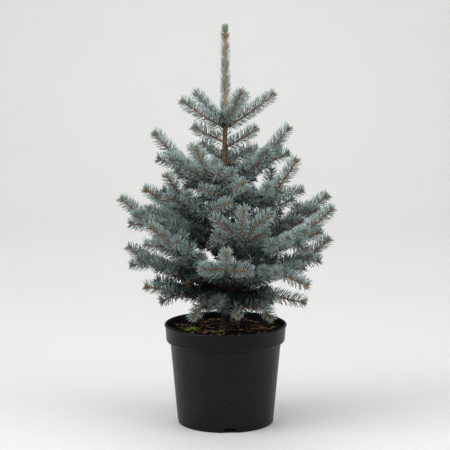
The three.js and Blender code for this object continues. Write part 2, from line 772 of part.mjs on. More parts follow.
// The leader's needles stand round the trunk's last length and close over its end bud.
function leaderSolid(room) {
  const way = walk(trunkMiddle(LEADER_FOOT), 90, 0, 90, 90, LEADER_END - LEADER_FOOT);
  for (const stop of way) {
    stop.place.copy(trunkMiddle(LEADER_FOOT + stop.along));
  }
  const end = way[way.length - 1];
  const count = Math.round(end.along / LEADER_STEP);
  const ringTurn = radians(GOLDEN_TURN / 2 - 360 / LEADER_SIDES);
  const rings = [];
  for (let index = 0; index <= count; index += 1) {
    const along = mix(0, end.along, index / count);
    const here = stationAt(way, along);
    const reach = LEADER_REACH * mix(1, LEADER_SLIMMING, index / count);
    const ring = ringAt(way, along, LEADER_SIDES, LEADER_CORE, ringTurn * index);
    rings.push(ring.map((corner, side) => {
      if (side % 3 !== index % 3 || index === 0) {
        return corner;
      }
      const out = corner.clone().sub(here.place).normalize();
      const tip = here.place.clone().addScaledVector(out, reach);
      return tip.addScaledVector(here.ahead, LEADER_LEAN);
    }));
    claim(here.place, reach, 'leader', null);
  }
  const peak = new THREE.Vector3(end.place.x, end.place.y, PLANT_TOP);
  return largestPiece(tubeSolid(rings, peak).subtract(room));
}

const compost = compostSolid();
const trunkRoom = trunkSolid(CLEAR);

addPart('pot', makePot(), PLASTIC);
addPart('compost', geometryOf(compost), SOIL);
for (const [name, across, along, width, depth] of MOSS) {
  addPart(name, geometryOf(mossSolid(across, along, width, depth, compost)), MOSS_GREEN);
}
addPart('trunk', geometryOf(trunkSolid(0)), BARK);
addPart('needles_leader', geometryOf(leaderSolid(trunkRoom)), NEEDLES);
growCrown(trunkRoom);

export default plant;
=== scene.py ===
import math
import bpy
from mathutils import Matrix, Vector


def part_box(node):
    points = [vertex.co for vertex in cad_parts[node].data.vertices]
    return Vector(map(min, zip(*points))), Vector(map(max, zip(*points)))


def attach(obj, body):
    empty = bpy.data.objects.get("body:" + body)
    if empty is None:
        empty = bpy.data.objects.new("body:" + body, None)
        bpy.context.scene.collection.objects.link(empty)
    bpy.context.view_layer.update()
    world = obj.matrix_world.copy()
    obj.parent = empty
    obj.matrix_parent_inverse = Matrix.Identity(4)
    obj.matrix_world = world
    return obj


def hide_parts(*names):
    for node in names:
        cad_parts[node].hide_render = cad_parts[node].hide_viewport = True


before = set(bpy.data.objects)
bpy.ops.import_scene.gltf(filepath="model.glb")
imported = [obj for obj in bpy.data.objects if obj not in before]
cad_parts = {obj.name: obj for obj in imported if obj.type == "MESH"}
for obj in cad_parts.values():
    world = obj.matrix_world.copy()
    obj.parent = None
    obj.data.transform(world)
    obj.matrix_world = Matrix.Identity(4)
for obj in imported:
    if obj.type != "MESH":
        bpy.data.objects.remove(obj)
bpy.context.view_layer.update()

# A young blue spruce, 0.9 m tall with its black ten litre nursery pot.
#
# The plant is grown again by the rule that its solids follow, then carried on to finer twigs,
# single needles, buds and bark. Sizes here are millimetres and degrees, and become metres where
# a mesh is made. +Z is up, +X is to the right and the front looks along -Y. A bearing is the way
# a limb leaves the trunk seen from above: 0 is right, 90 is back, 180 is left, 270 is front.

from types import SimpleNamespace

import bpy
import numpy as np
from mathutils.bvhtree import BVHTree

MM = 0.001

# ------------------------------------------------------------------ driving sizes

POT_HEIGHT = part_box("pot")[1][2] / MM
POT_RIM_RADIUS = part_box("pot")[1][0] / MM
POT_FOOT_RADIUS = 110
POT_BODY_TOP = 185
POT_BODY_TOP_RADIUS = 126.4
POT_WALL = 2.2
POT_FLOOR = 4
POT_SIDES = 128
BAND_FOOT_HEIGHT = 192.5
BAND_FOOT_RADIUS = 135.8
BAND_INSIDE_RADIUS = 133.4

NOTCH_COUNT = 4
NOTCH_FIRST_BEARING = 275
NOTCH_FOOT_WIDTH = 32
NOTCH_TOP_WIDTH = 25
NOTCH_HEIGHT = 10.5
NOTCH_INNER_RADIUS = 98

COMPOST_TOP = 217
COMPOST_LUMP = 2.6
CLEAR = 0.3

TRUNK_FOOT = COMPOST_TOP + CLEAR
TRUNK_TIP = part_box("trunk")[1][2] / MM
TRUNK_SWAY = 1.4
# The leader stands a little to the left of the trunk that bears it.
LEADER_OFFSET = -2.2
LEADER_OFFSET_FROM = 760
LEADER_OFFSET_OVER = 140
# Between which heights the bark turns from tan to golden brown, and from that to grey scales
# that are painted dark as shade under the crown.
LEADER_BARK = (685, 700)
OLD_BARK = (620, 360)
TRUNK_SIDES = 24
TRUNK_STEP = 5
TRUNK_HEIGHTS = [TRUNK_FOOT, 226, 250, 330, 400, 470, 531, 600, 672, 683, 694, 780, 884, 890, TRUNK_TIP]
TRUNK_RADII = [13.5, 11.2, 10.2, 9.4, 8.7, 7.6, 7.1, 6.0, 5.3, 5.6, 4.0, 3.7, 3.4, 4.6, 1.6]

BOUGH_SHARE = 0.4
BOUGH_FOOT_RADIUS = 3.7
BOUGH_END_RADIUS = 2.7
LIMB_FORK_RADIUS = 2.5
SHOOT_FOOT_RADIUS = 2.4
SHOOT_END_RADIUS = 1.8
FINE_FOOT_RADIUS = 1.5
FINE_END_RADIUS = 1.2

STEM_RADIUS = 2.2
CORE_RADIUS = 5.8
CORE_END_RADIUS = 3
TUFT = 9
STEM_BARE = 15
TWIG_BARE = 9
GOLDEN_TURN = 137.5
PATH_STEP = 12
SHOOT_BEND = 4
TWIG_DROOP = 5
TWIG_LIFT = 7
FORK_TWIG_SHARE = 0.66
FORK_SPREAD = 52
FORK_SPREAD_CHANCE = 6
FORK_RISE_SHARE = 0.5
UNDER_DROP = 34
LIMB_TWIG_PLACES = [0.74, 0.5]
LIMB_TWIG_PLACE_CHANCE = 0.05
LIMB_TWIG_SHARE = 0.92
LIMB_TWIG_LEAST = 70
LIMB_TWIG_SPREAD = 50
LIMB_SPREAD_CHANCE = 8
LIMB_RISE_SHARE = 0.55
LIMB_RISE_CHANCE = 6
TWIG_LENGTH_LEAST = 0.88
TWIG_LENGTH_CHANCE = 0.24
TWIG_TRIES = [1, 0.85, 0.7, 0.55, 0.45]
SHORTEST_TWIG = 30
MASS_GAP = 2
BALL_STEP = 5

# The finer twigs that the solids leave out: pairs along the inner limbs, and shoots on the trunk.
FINE_LIMB_PLACES = [0.36, 0.2]
FINE_PLACE_CHANCE = 0.05
FINE_LIMB_LENGTH = 58
FINE_LENGTH_LEAST = 0.75
FINE_LENGTH_CHANCE = 0.4
FINE_SPREAD = 50
FINE_SPREAD_CHANCE = 14
FINE_RISE_OF_LIMB = 0.5
FINE_RISE_CHANCE = 22
FINE_DROP = 6
FINE_BARE = 4
FINE_SHORTEST = 20
FINE_CORE = 4.2
FINE_GAP = 7
TRUNK_SHOOTS = 12
TRUNK_SHOOT_FOOT = 345
TRUNK_SHOOT_STEP = 20
TRUNK_SHOOT_LENGTH = 52
TRUNK_SHOOT_RISE = 18
TRUNK_SHOOT_RISE_CHANCE = 20
TRUNK_SHOOT_BARE = 14
TRUNK_SHOOT_SEED = 977

# Needles: 21 to 25 mm long, four-angled in life and three-sided here. They are 1.9 mm thick, larger
# than life, so that fewer of them close a shoot. The stops are how far along a needle its rings
# stand, and the widths how thick it is there.
NEEDLE_LENGTH = 23.5
NEEDLE_LENGTH_CHANCE = (0.9, 1.06)
NEEDLE_RADIUS = 0.95
NEEDLE_SIDES = 3
NEEDLE_STOPS = [0.0, 0.72]
NEEDLE_WIDTHS = [0.9, 1.0]
NEEDLES_PER_CM = 24
NEEDLE_ROW = 4.6
NEEDLE_PARTING = 0.5
NEEDLE_BELOW_SHARE = 0.8
NEEDLE_SWEEP = 34
NEEDLE_TILT_ABOVE = 70
NEEDLE_TILT_BELOW = 66
NEEDLE_TILT_CHANCE = 3
NEEDLE_TURN_CHANCE = 0.12
NEEDLE_CURVE = 14
# Near the end of a shoot its needles are shorter and lean further ahead.
ENDING = 14
ENDING_LENGTH_SHARE = 0.82
ENDING_TILT_ABOVE = 52
ENDING_TILT_BELOW = 46
# The finest twigs have fewer and shorter needles.
FINE_COUNT_SHARE = 0.86
FINE_LENGTH_SHARE = 0.84
TUFT_NEEDLES = 18
TUFT_NEEDLE = 12
TUFT_TILT_ABOVE = 48
TUFT_TILT_BELOW = 42

LEADER_FOOT = 697
LEADER_END = 893
LEADER_NEEDLE = 17
LEADER_NEEDLES_PER_CM = 17
LEADER_SIDE_BUDS = [(810, 5), (801, 182), (789, 20), (842, 205), (762, 250)]
# Old needles on the trunk: from one height to another, how many, and their tint.
TRUNK_NEEDLES = [(240, 545, 340, "deep"), (545, 672, 60, "blue"), (674, 704, 90, "deep")]
OLD_NEEDLE = 17
OLD_NEEDLE_TILT = 58
OLD_NEEDLES_PER_CM = 12
LIMB_OLD_NEEDLE_SHARE = 0.85
BRUSH_NEEDLES = 90
BRUSH_NEEDLE = 18
BRUSH_RADIUS = 7.5

# The tint of a spray goes by how far out it stands, as a share of the crown's reach at its height:
# silver outside, near black green inside. This is partly the needles' age and partly painted light
# and shade, lit outside and shaded inside the crown. Some whorls and the end shoots count as further
# out or further in, the foot whorl further in as painted shade, and some needles at random as deeper,
# as painted shade between the needles.
CROWN_HEIGHTS = [230, 330, 470, 560, 700, 911]
CROWN_RADII = [160, 235, 235, 190, 110, 60]
WHORL_DEPTH = {"crown": 0.6, "upper": 0.6, "high": 0.12, "foot": -0.14, "low": -0.04}
END_SHOOT_DEPTH = 0.25
DEPTH_CHANCE = 0.06
SHADE_STEP = 0.28
SHADE_SHARE = 0.3
SILVER_DEPTH = 0.48
BLUE_DEPTH = 0.29
# Each tint of needle: its green, the wax over it and how much the wax scatters. The darkest tint is
# a near black green that paints the shade inside the crown.
NEEDLE_TINTS = {
    "silver": ("#859f9c", "#adbfba", 0.27),
    "blue": ("#607875", "#7f9591", 0.2),
    "deep": ("#202d27", "#34433b", 0.03),
    "tip": ("#7d8b70", "#95a185", 0.15),
}

# A bud's scales: how far along it each ring stands and how wide it is there. The end buds of limbs,
# side twigs and the finest twigs have a size each, and so many smaller buds round their foot.
BUD_STEPS = [0.0, 0.12, 0.3, 0.34, 0.55, 0.6, 0.8, 0.84]
BUD_WIDTHS = [0.55, 0.95, 1.0, 0.86, 0.92, 0.7, 0.6, 0.42]
BUD_SIDES = 7
END_BUD = (7.5, 4.6)
FOOT_BUD = (5.8, 3.4)
SIDE_BUD = (4.6, 2.9)
LEADER_END_BUD = (10, 5.4)
LEADER_SIDE_BUD = (7, 4)
LEADER_END_BUDS = 5
BUD_SIZES = [1.0, 0.85, 0.66]
BUDS_ROUND_FOOT = [4, 3, 1]
SIDE_BUD_PLACES = (0.42, 0.66)

TWIG_SIDES = 6
TWIG_STEP = 4.0
LIMB_SIDES = 9
LIMB_STEP = 3.0

# Raised lines of the pot's mould: between which heights, and between which bearings.
MARK_HEIGHTS = (16.0, 17.2)
MARK_BEARINGS = ((254, 259), (277, 281), (74, 79), (97, 101))
MARK_RELIEF = 0.35

# The compost's lumps: how wide and how high, over its top up to this radius.
COMPOST_SIDES = 112
COMPOST_EDGE = 131
COMPOST_HEAVES = [(34, COMPOST_LUMP * 1.5), (9, 3.2), (3.5, 2.0)]
# How much of the bark's relief the trunk has at each height.
BARK_HEIGHTS = [213, 400, 640]
BARK_SHARES = [1, 0.7, 0.15]

# Loose bits lie between the trunk's foot and these distances from the middle of the pot.
BITS_FROM = 17
CHIPS_TO = 128
STRANDS_TO = 108
STRAND_END_TO = 130
CHIP_CORNERS = 6
STRAND_SIDES = 4
STRAND_RINGS = 7
STRAND_LENGTHS = (10, 34)
STRAND_RADII = (0.35, 0.75)
STRAND_BEND = 0.05
# Patches of moss: name, place across and along, width, depth and tint. The first is a solid too.
MOSS_PATCHES = [
    ("moss_left", -76, -20, 42, 44, "fresh"),
    ("moss_front", -9, -46, 18, 14, "fresh"),
    ("moss_right", 108, 62, 26, 22, "dull"),
    ("moss_middle", 62, 10, 20, 16, "dull"),
]
MOSS_TINTS = {"fresh": ("#7a9a2c", "#3d4b12"), "dull": ("#5f5a26", "#332d13")}
MOSS_DOME = 5.4
MOSS_PER_SQUARE = 0.42
MOSS_SEED = 300
MOSS_SCATTER = 0.2
MOSS_EDGE = 0.42
MOSS_RAGGED = 0.08
MOSS_SUNK = 1.5
MOSS_SIDES = 5
MOSS_STAR_HEIGHTS = (2.2, 4.0)
MOSS_STAR_RADII = [0.75, 1.15]
MOSS_STAR_TIP = 0.45

# Each limb of the crown: whorl, name, height on the trunk, bearing, length to its last fork, rise
# at the trunk, rise at the fork, length of the end shoot, its rise, its turn sideways, the side
# shoots at the fork, and whether the limb starts as a bare bough.
LIMBS = [
    ("crown", "crown_right", 675, -14, 0, 0, 0, 135, 35, 0, "", False),
    ("crown", "crown_front", 682, -60, 0, 0, 0, 104, 47, 0, "", False),
    ("crown", "crown_left", 676, 191, 0, 0, 0, 114, 32, 0, "", False),
    ("crown", "crown_back_left", 683, 130, 0, 0, 0, 122, 32, 0, "", False),
    ("crown", "crown_back", 678, 58, 0, 0, 0, 110, 38, 0, "", False),
    ("upper", "upper_left", 645, 184, 0, 0, 0, 76, 25, 0, "", False),
    ("upper", "upper_right", 632, -26, 0, 0, 0, 86, 30, 0, "", False),
    ("upper", "upper_back_left", 602, 140, 0, 0, 0, 74, 27, 0, "", False),
    ("upper", "upper_back_right", 596, 38, 0, 0, 0, 76, 22, 0, "", False),
    ("high", "high_left", 536, 186, 113, 26, 37, 94, 48, 0, "left", False),
    ("high", "high_front", 527, 246, 98, 20, 34, 92, 49, -4, "left right", False),
    ("high", "high_right", 527, -12, 108, 38, 48, 100, 50, 0, "under left right", False),
    ("high", "high_back_right", 529, 64, 98, 20, 26, 86, 35, 0, "left", False),
    ("high", "high_back_left", 526, 119, 102, 21, 28, 86, 36, 0, "under left right", False),
    ("mid", "mid_right", 482, -36, 152, 20, 30, 82, 54, 9, "", True),
    ("mid", "mid_left", 436, 215, 131, 30, 42, 84, 50, 0, "under left right", True),
    ("mid", "mid_side_left", 430, 197, 140, 30, 37, 79, 26, 0, "", False),
    ("mid", "mid_front", 478, 254, 118, 8, 16, 58, 22, 60, "right", False),
    ("mid", "mid_front_right", 492, -88, 104, 18, 30, 76, 26, 28, "left right", False),
    ("mid", "mid_back", 470, 88, 150, 20, 32, 86, 50, 0, "under left right", True),
    ("wide", "wide_left", 391, 184, 195, 18, 30, 74, 38, 0, "left", True),
    ("wide", "wide_right", 388, 6, 192, 20, 34, 73, 36, 0, "left right", True),
    ("wide", "wide_front_right", 385, -28, 190, 10, 24, 105, 40, 0, "right", True),
    ("wide", "wide_front", 390, -78, 158, 16, 28, 78, 58, 0, "", True),
    ("wide", "wide_back_right", 400, 46, 196, 26, 38, 64, 13, -34, "left", True),
    ("wide", "wide_back_left", 396, 132, 190, 16, 26, 80, 22, 0, "under left right", True),
    ("low", "low_front_left", 325, 220, 173, 28, 38, 88, 36, 0, "left", True),
    ("low", "low_left", 314, 184, 182, 14, 24, 58, 34, 0, "left right", True),
    ("low", "low_front", 320, 270, 162, 16, 28, 62, 42, 0, "", True),
    ("low", "low_front_right", 302, -43, 170, 20, 26, 84, -15, 0, "left right", True),
    ("low", "low_right", 322, -10, 181, 14, 24, 78, 37, 0, "left right", True),
    ("low", "low_back_right", 313, 54, 180, 18, 30, 76, 30, 0, "left right", True),
    ("low", "low_back_left", 312, 118, 180, 4, 8, 76, 20, 0, "left", True),
    ("foot", "foot_left", 284, 181, 127, 8, 12, 56, 8, 0, "", False),
    ("foot", "foot_front_left", 292, 236, 88, 4, -6, 48, -32, 0, "left", False),
    ("foot", "foot_front", 284, 283, 82, 4, -8, 34, -20, 0, "", False),
    ("foot", "foot_front_right", 280, -36, 92, 8, -4, 42, -40, 0, "right", False),
    ("foot", "foot_right", 276, -9, 104, 16, 10, 78, -12, 0, "", False),
    ("foot", "foot_back", 282, 90, 120, 8, 4, 60, 0, 0, "left", False),
]
# Twigs that break the pairs: limb, share of its length, turn from its bearing, rise, length.
ODD_TWIGS = [
    ("high_left", 1, 0, 11, 54),
    ("high_left", 0.32, 40, -4, 76),
    ("mid_right", 0.86, 110, 70, 54),
    ("mid_right", 0.48, 40, 2, 48),
    ("mid_left", 0.8, 88, 42, 60),
    ("wide_left", 0.9, 0, -2, 54),
    ("wide_left", 0.95, -80, 38, 40),
    ("wide_right", 0.96, 85, 40, 36),
    ("wide_front_right", 1, 0, 14, 52),
    ("wide_front_right", 0.86, -25, -12, 60),
    ("wide_front", 1, 63, 37, 86),
    ("wide_front", 1, -82, 35, 74),
    ("low_front_left", 0.97, -54, 4, 72),
    ("low_front_left", 1, 80, 40, 46),
    ("low_left", 0.97, 6, -6, 46),
    ("low_left", 0.48, 48, 45, 66),
    ("low_front", 1, -66, 3, 58),
    ("low_front", 1, 66, -3, 56),
    ("low_right", 1, -6, -2, 41),
    ("low_right", 0.55, -78, 30, 62),
    ("foot_left", 0.86, 0, -32, 43),
    ("foot_left", 0.9, -25, 22, 52),
    ("foot_left", 0.5, 55, 38, 60),
    ("foot_right", 0.95, -40, -52, 42),
]
# Places of a limb where no side twig grew: limb, share of its length, left (1) or right (-1).
BARE_SPOTS = [
    ("high_left", 0.74, -1),
    ("high_back_right", 0.74, -1),
    ("high_back_right", 0.5, -1),
    ("mid_back", 0.74, -1),
    ("wide_left", 0.74, -1),
    ("low_back_left", 0.74, -1),
    ("mid_right", 0.74, 1),
    ("foot_left", 0.5, 1),
    ("foot_front_left", 0.74, -1),
    ("foot_back", 0.74, -1),
    ("foot_right", 0.74, 1),
]
WHORLS = ["crown", "upper", "high", "mid", "wide", "low", "foot"]

# The camera stands 3.5 m in front, looks 8 degrees down and has a long lens.
CAMERA_PLACE = (-1.35, -3527, 961)
CAMERA_PITCH = 8.15
CAMERA_LENS = 125.6
SENSOR_WIDTH = 36

# The paper floor, in metres: its width, where it starts and where it sweeps up to the wall.
FLOOR_WIDTH = 16
FLOOR_FRONT = -8
FLOOR_BACK = 3
SWEEP_RADIUS = 1.8
SWEEP_BENDS = 12
WALL_RISE = 5
# Softboxes: name, place and aim in metres, width in metres, power in watts.
SOFTBOXES = [
    ("left_softbox", (-2.8, -1.4, 2.6), (0, 0, 0.5), 3.2, 84),
    ("right_softbox", (2.8, -1.4, 2.6), (0, 0, 0.5), 3.2, 58),
    ("top_softbox", (0, -0.8, 3.6), (0, -0.2, 0.5), 4.6, 89),
    ("backdrop_softbox", (0, 2.0, 3.3), (0, 4.8, 1.0), 1.6, 42),
]
AIR_LIGHT = 0.67

# ------------------------------------------------------------------ plain helpers


def radians(degrees):
    return np.radians(degrees)


def mix(first, last, share):
    return first + (last - first) * share


def unit(vectors):
    return vectors / np.linalg.norm(vectors, axis=-1, keepdims=True)


def chance_from(seed):
    """The same small source of chance that the solids were grown with."""
    state = seed

    def draw():
        nonlocal state
        state = (state * 1664525 + 1013904223) % 4294967296
        return state / 4294967296

    return draw


def heading(bearing, rise):
    """The way ahead for a bearing and a rise, as one vector or many."""
    bearing, rise = np.broadcast_arrays(radians(bearing), radians(rise))
    level = np.cos(rise)
    return np.stack([np.cos(bearing) * level, np.sin(bearing) * level, np.sin(rise)], axis=-1)


# ------------------------------------------------------------------ meshes from arrays


class Batch:
    """Points and triangles of many small things, gathered into one mesh."""

    def __init__(self):
        self.points = []
        self.triangles = []
        self.count = 0

    def add(self, points, triangles):
        self.points.append(points)
        self.triangles.append(np.asarray(triangles) + self.count)
        self.count += len(points)

    def piece(self, name, material, slot, replaces=()):
        mesh = bpy.data.meshes.new(name)
        mesh.from_pydata(np.vstack(self.points) * MM, [], np.vstack(self.triangles))
        mesh.shade_smooth()
        piece = bpy.data.objects.new(name, mesh)
        bpy.context.scene.collection.objects.link(piece)
        return finish_piece(piece, material, replaces)


def finish_piece(piece, material, replaces=()):
    """Gives a piece its material and its body, and hides the solids it stands for."""
    piece.data.materials.clear()
    piece.data.materials.append(material)
    if replaces:
        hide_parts(*replaces)
    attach(piece, "root")
    return piece


def tube_triangles(rings, sides):
    """Triangles of a tube of rings, closed by a point before the first and one after the last."""
    ring = np.arange(rings - 1)[:, None] * sides
    side = np.arange(sides)[None, :]
    after = (side + 1) % sides
    low, low_after, high, high_after = ring + side, ring + after, ring + sides + side, ring + sides + after
    walls = np.concatenate([
        np.stack([low, low_after, high], axis=-1).reshape(-1, 3),
        np.stack([low_after, high_after, high], axis=-1).reshape(-1, 3),
    ])
    foot, head = rings * sides, rings * sides + 1
    last = (rings - 1) * sides
    side, after = side[0], after[0]
    foot_fan = np.stack([np.full(sides, foot), after, side], axis=-1)
    head_fan = np.stack([np.full(sides, head), last + side, last + after], axis=-1)
    return np.concatenate([walls, foot_fan, head_fan])


def tube_points(places, side, above, radii, sides, peak):
    """Rings of points round a way. radii is one number for each ring, or one for each point."""
    angle = np.arange(sides) / sides * 2 * math.pi
    out = side[:, None, :] * np.cos(angle)[:, None] + above[:, None, :] * np.sin(angle)[:, None]
    reach = np.broadcast_to(np.reshape(radii, (len(places), -1)), (len(places), sides))
    rings = places[:, None, :] + out * reach[..., None]
    return np.concatenate([rings.reshape(-1, 3), places[:1], [peak]])


def add_tube(batch, places, side, above, radii, sides, peak):
    """Adds a tube with its two ends closed to a batch."""
    points = tube_points(places, side, above, radii, sides, peak)
    batch.add(points, tube_triangles(len(places), sides))


# ------------------------------------------------------------------ modelling by hand


def start_clean():
    if bpy.context.mode != "OBJECT":
        bpy.ops.object.mode_set(mode="OBJECT")
    bpy.ops.object.select_all(action="DESELECT")


def edit_all(piece):
    bpy.context.view_layer.objects.active = piece
    piece.select_set(True)
    bpy.ops.object.mode_set(mode="EDIT")
    bpy.ops.mesh.select_mode(type="VERT")
    bpy.ops.mesh.select_all(action="SELECT")


def select_faces(piece, wanted):
    """Leaves the piece in edit mode with just the wanted faces selected."""
    start_clean()
    edit_all(piece)
    bpy.ops.mesh.select_mode(type="FACE")
    bpy.ops.mesh.select_all(action="DESELECT")
    bpy.ops.object.mode_set(mode="OBJECT")
    for face in piece.data.polygons:
        face.select = wanted(face)
    bpy.ops.object.mode_set(mode="EDIT")


def turned(name, stops, sides):
    """Extrudes a ring from stop to stop, (radius, height, across, along), and closes both ends."""
    start_clean()
    radius, height, across, along = stops[0]
    bpy.ops.mesh.primitive_circle_add(
        vertices=sides, radius=radius * MM, location=(across * MM, along * MM, height * MM))
    piece = bpy.context.object
    piece.name = name
    piece.data.name = name
    bpy.ops.object.transform_apply(location=True, rotation=False, scale=False)
    edit_all(piece)
    for before, after in zip(stops, stops[1:]):
        step = [(after[axis] - before[axis]) * MM for axis in (2, 3, 1)]
        middle = [after[axis] * MM for axis in (2, 3, 1)]
        share = after[0] / before[0]
        bpy.ops.mesh.extrude_region_move(TRANSFORM_OT_translate={"value": step})
        bpy.ops.transform.resize(value=(share, share, 1), center_override=middle)
    bpy.ops.mesh.select_all(action="SELECT")
    bpy.ops.mesh.fill_holes(sides=0)
    bpy.ops.mesh.normals_make_consistent(inside=False)
    bpy.ops.object.mode_set(mode="OBJECT")
    return piece


def apply_modifier(piece, kind, **settings):
    start_clean()
    bpy.context.view_layer.objects.active = piece
    piece.select_set(True)
    modifier = piece.modifiers.new(kind.title(), kind)
    for name, value in settings.items():
        setattr(modifier, name, value)
    bpy.ops.object.modifier_apply(modifier=modifier.name)


def heave(piece, kind, grain, height, group):
    """Moves a group of a surface in and out by a procedural pattern, grain and height in millimetres."""
    pattern = bpy.data.textures.new(f"{piece.name}_{kind.lower()}", kind)
    pattern.noise_scale = grain * MM
    apply_modifier(
        piece, "DISPLACE", texture=pattern, texture_coords="LOCAL", strength=height * MM,
        mid_level=0.5, vertex_group=group)


def smooth_by_angle(piece, degrees):
    start_clean()
    bpy.context.view_layer.objects.active = piece
    piece.select_set(True)
    bpy.ops.object.shade_smooth_by_angle(angle=math.radians(degrees))


# ------------------------------------------------------------------ ways that limbs and twigs take


class Way:
    """A path out from a point: its places, and the bearing and rise of the way ahead at each."""

    def __init__(self, places, bearings, rises, alongs):
        self.places = places
        self.bearings = bearings
        self.rises = rises
        self.alongs = alongs

    @property
    def length(self):
        return self.alongs[-1]


def walk(start, bearing, rise_start, rise_end, length):
    steps = max(2, int(length / PATH_STEP + 0.5))
    shares = np.arange(steps + 1) / steps
    middles = (shares[1:] + shares[:-1]) / 2
    strides = heading(bearing, mix(rise_start, rise_end, middles)) * (length / steps)
    places = start + np.vstack([np.zeros(3), np.cumsum(strides, axis=0)])
    rises = mix(rise_start, rise_end, shares)
    return Way(places, np.full(steps + 1, float(bearing)), rises, length * shares)


def stations(way, alongs):
    """Place, way ahead and the two directions across it at each distance along a way.

    Past the end of the way they run straight on."""
    alongs = np.atleast_1d(np.asarray(alongs, dtype=float))
    inside = np.minimum(alongs, way.length)
    place = np.stack([np.interp(inside, way.alongs, way.places[:, axis]) for axis in range(3)], axis=-1)
    bearing = np.interp(inside, way.alongs, way.bearings)
    rise = np.interp(inside, way.alongs, way.rises)
    ahead = heading(bearing, rise)
    place = place + ahead * (alongs - inside)[:, None]
    turn = radians(bearing)
    side = np.stack([-np.sin(turn), np.cos(turn), np.zeros_like(turn)], axis=-1)
    return SimpleNamespace(
        place=place, ahead=ahead, side=side, above=np.cross(ahead, side), bearing=bearing, rise=rise)


def trunk_middle(height):
    height = np.asarray(height, dtype=float)
    turn = (height - TRUNK_FOOT) / 95
    lean = np.minimum(1, (height - TRUNK_FOOT) / 60)
    leader = np.clip((height - LEADER_OFFSET_FROM) / LEADER_OFFSET_OVER, 0, 1)
    across = TRUNK_SWAY * lean * np.sin(turn) + LEADER_OFFSET * leader
    along = TRUNK_SWAY * 0.8 * lean * np.sin(turn * 1.3 + 1)
    return np.stack([across, along, height], axis=-1)


def trunk_radius(height):
    return np.interp(height, TRUNK_HEIGHTS, TRUNK_RADII)


def limb_way(limb):
    """Out from the middle of the trunk to the last fork, then the end shoot."""
    start = trunk_middle(limb.height)
    low, high = limb.tip_rise - SHOOT_BEND, limb.tip_rise + SHOOT_BEND
    if limb.length == 0:
        return walk(start, limb.bearing, low, high, limb.tip)
    way = walk(start, limb.bearing, limb.rise, limb.fork_rise, limb.length)
    tip = walk(way.places[-1], limb.bearing + limb.tip_turn, low, high, limb.tip)
    return Way(
        np.vstack([way.places, tip.places[1:]]),
        np.append(way.bearings, tip.bearings[1:]),
        np.append(way.rises, tip.rises[1:]),
        np.append(way.alongs, tip.alongs[1:] + limb.length))


def cut_way(way, length):
    kept = way.alongs < length - 1
    end = stations(way, length)
    return Way(
        np.vstack([way.places[kept], end.place]),
        np.append(way.bearings[kept], end.bearing),
        np.append(way.rises[kept], end.rise),
        np.append(way.alongs[kept], length))


# ------------------------------------------------------------------ twigs that branch by rule


def make_twig(limb, way, start, bare, stem, core, order):
    """A way with needles from one place along it to its end. order is 0 for a limb's own shoot,
    1 for its side twigs and 2 for the finest."""
    return SimpleNamespace(limb=limb, way=way, start=start, bare=bare, stem=stem, core=core, order=order)


def side_twig(limb, parent, bearing, rise, length):
    way = walk(parent.place[0], bearing, rise - TWIG_DROOP, rise + TWIG_LIFT, length)
    return make_twig(limb, way, 0, TWIG_BARE, STEM_RADIUS * 0.85, CORE_RADIUS * 0.9, 1)


def side_twigs(limb, way, first_place):
    """The side twigs of a limb, in the order that they claim their space."""
    chance = chance_from(limb.seed)
    twigs = []
    fork = stations(way, limb.length)

    def vary():
        return TWIG_LENGTH_LEAST + TWIG_LENGTH_CHANCE * chance()

    for name, share, turn, rise, length in ODD_TWIGS:
        if name == limb.name:
            parent = stations(way, limb.length * share)
            twigs.append(side_twig(limb, parent, limb.bearing + turn, rise, length))
    for word in limb.fork_shoots:
        length = limb.tip * FORK_TWIG_SHARE * vary()
        if word == "under":
            twigs.append(side_twig(limb, fork, limb.bearing, limb.tip_rise - UNDER_DROP, length))
        else:
            spread = (1 if word == "left" else -1) * (FORK_SPREAD + FORK_SPREAD_CHANCE * chance())
            rise = (limb.fork_rise + limb.tip_rise) / 2 * FORK_RISE_SHARE
            twigs.append(side_twig(limb, fork, limb.bearing + spread, rise, length))
    for share in LIMB_TWIG_PLACES:
        for hand in (1, -1):
            along = limb.length * (share + LIMB_TWIG_PLACE_CHANCE * chance())
            length = max(limb.tip, LIMB_TWIG_LEAST) * LIMB_TWIG_SHARE * vary()
            bearing = limb.bearing + hand * (LIMB_TWIG_SPREAD + LIMB_SPREAD_CHANCE * chance())
            parent = stations(way, along)
            rise = parent.rise[0] * LIMB_RISE_SHARE + LIMB_RISE_CHANCE * chance()
            is_bare = (limb.name, share, hand) in BARE_SPOTS
            if limb.length > 0 and along > first_place + TWIG_BARE and not is_bare:
                twigs.append(side_twig(limb, parent, bearing, rise, length))
    return twigs


def fine_twig(limb, parent, bearing, rise, length):
    way = walk(parent.place[0], bearing, rise - TWIG_DROOP, rise + TWIG_LIFT, length)
    return make_twig(limb, way, 0, FINE_BARE, FINE_FOOT_RADIUS, FINE_CORE, 2)


def fine_twigs(mass, chance):
    """Short pairs on the inner part of a limb, between its side twigs and the trunk."""
    limb = mass.limb
    twigs = []
    if limb.length == 0:
        return twigs
    for share in FINE_LIMB_PLACES:
        for hand in (1, -1):
            parent = stations(mass.way, limb.length * (share + FINE_PLACE_CHANCE * chance()))
            length = FINE_LIMB_LENGTH * (FINE_LENGTH_LEAST + FINE_LENGTH_CHANCE * chance())
            bearing = limb.bearing + hand * (FINE_SPREAD + FINE_SPREAD_CHANCE * chance())
            rise = parent.rise[0] * FINE_RISE_OF_LIMB + FINE_RISE_CHANCE * chance() - FINE_DROP
            twigs.append(fine_twig(limb, parent, bearing, rise, length))
    return twigs


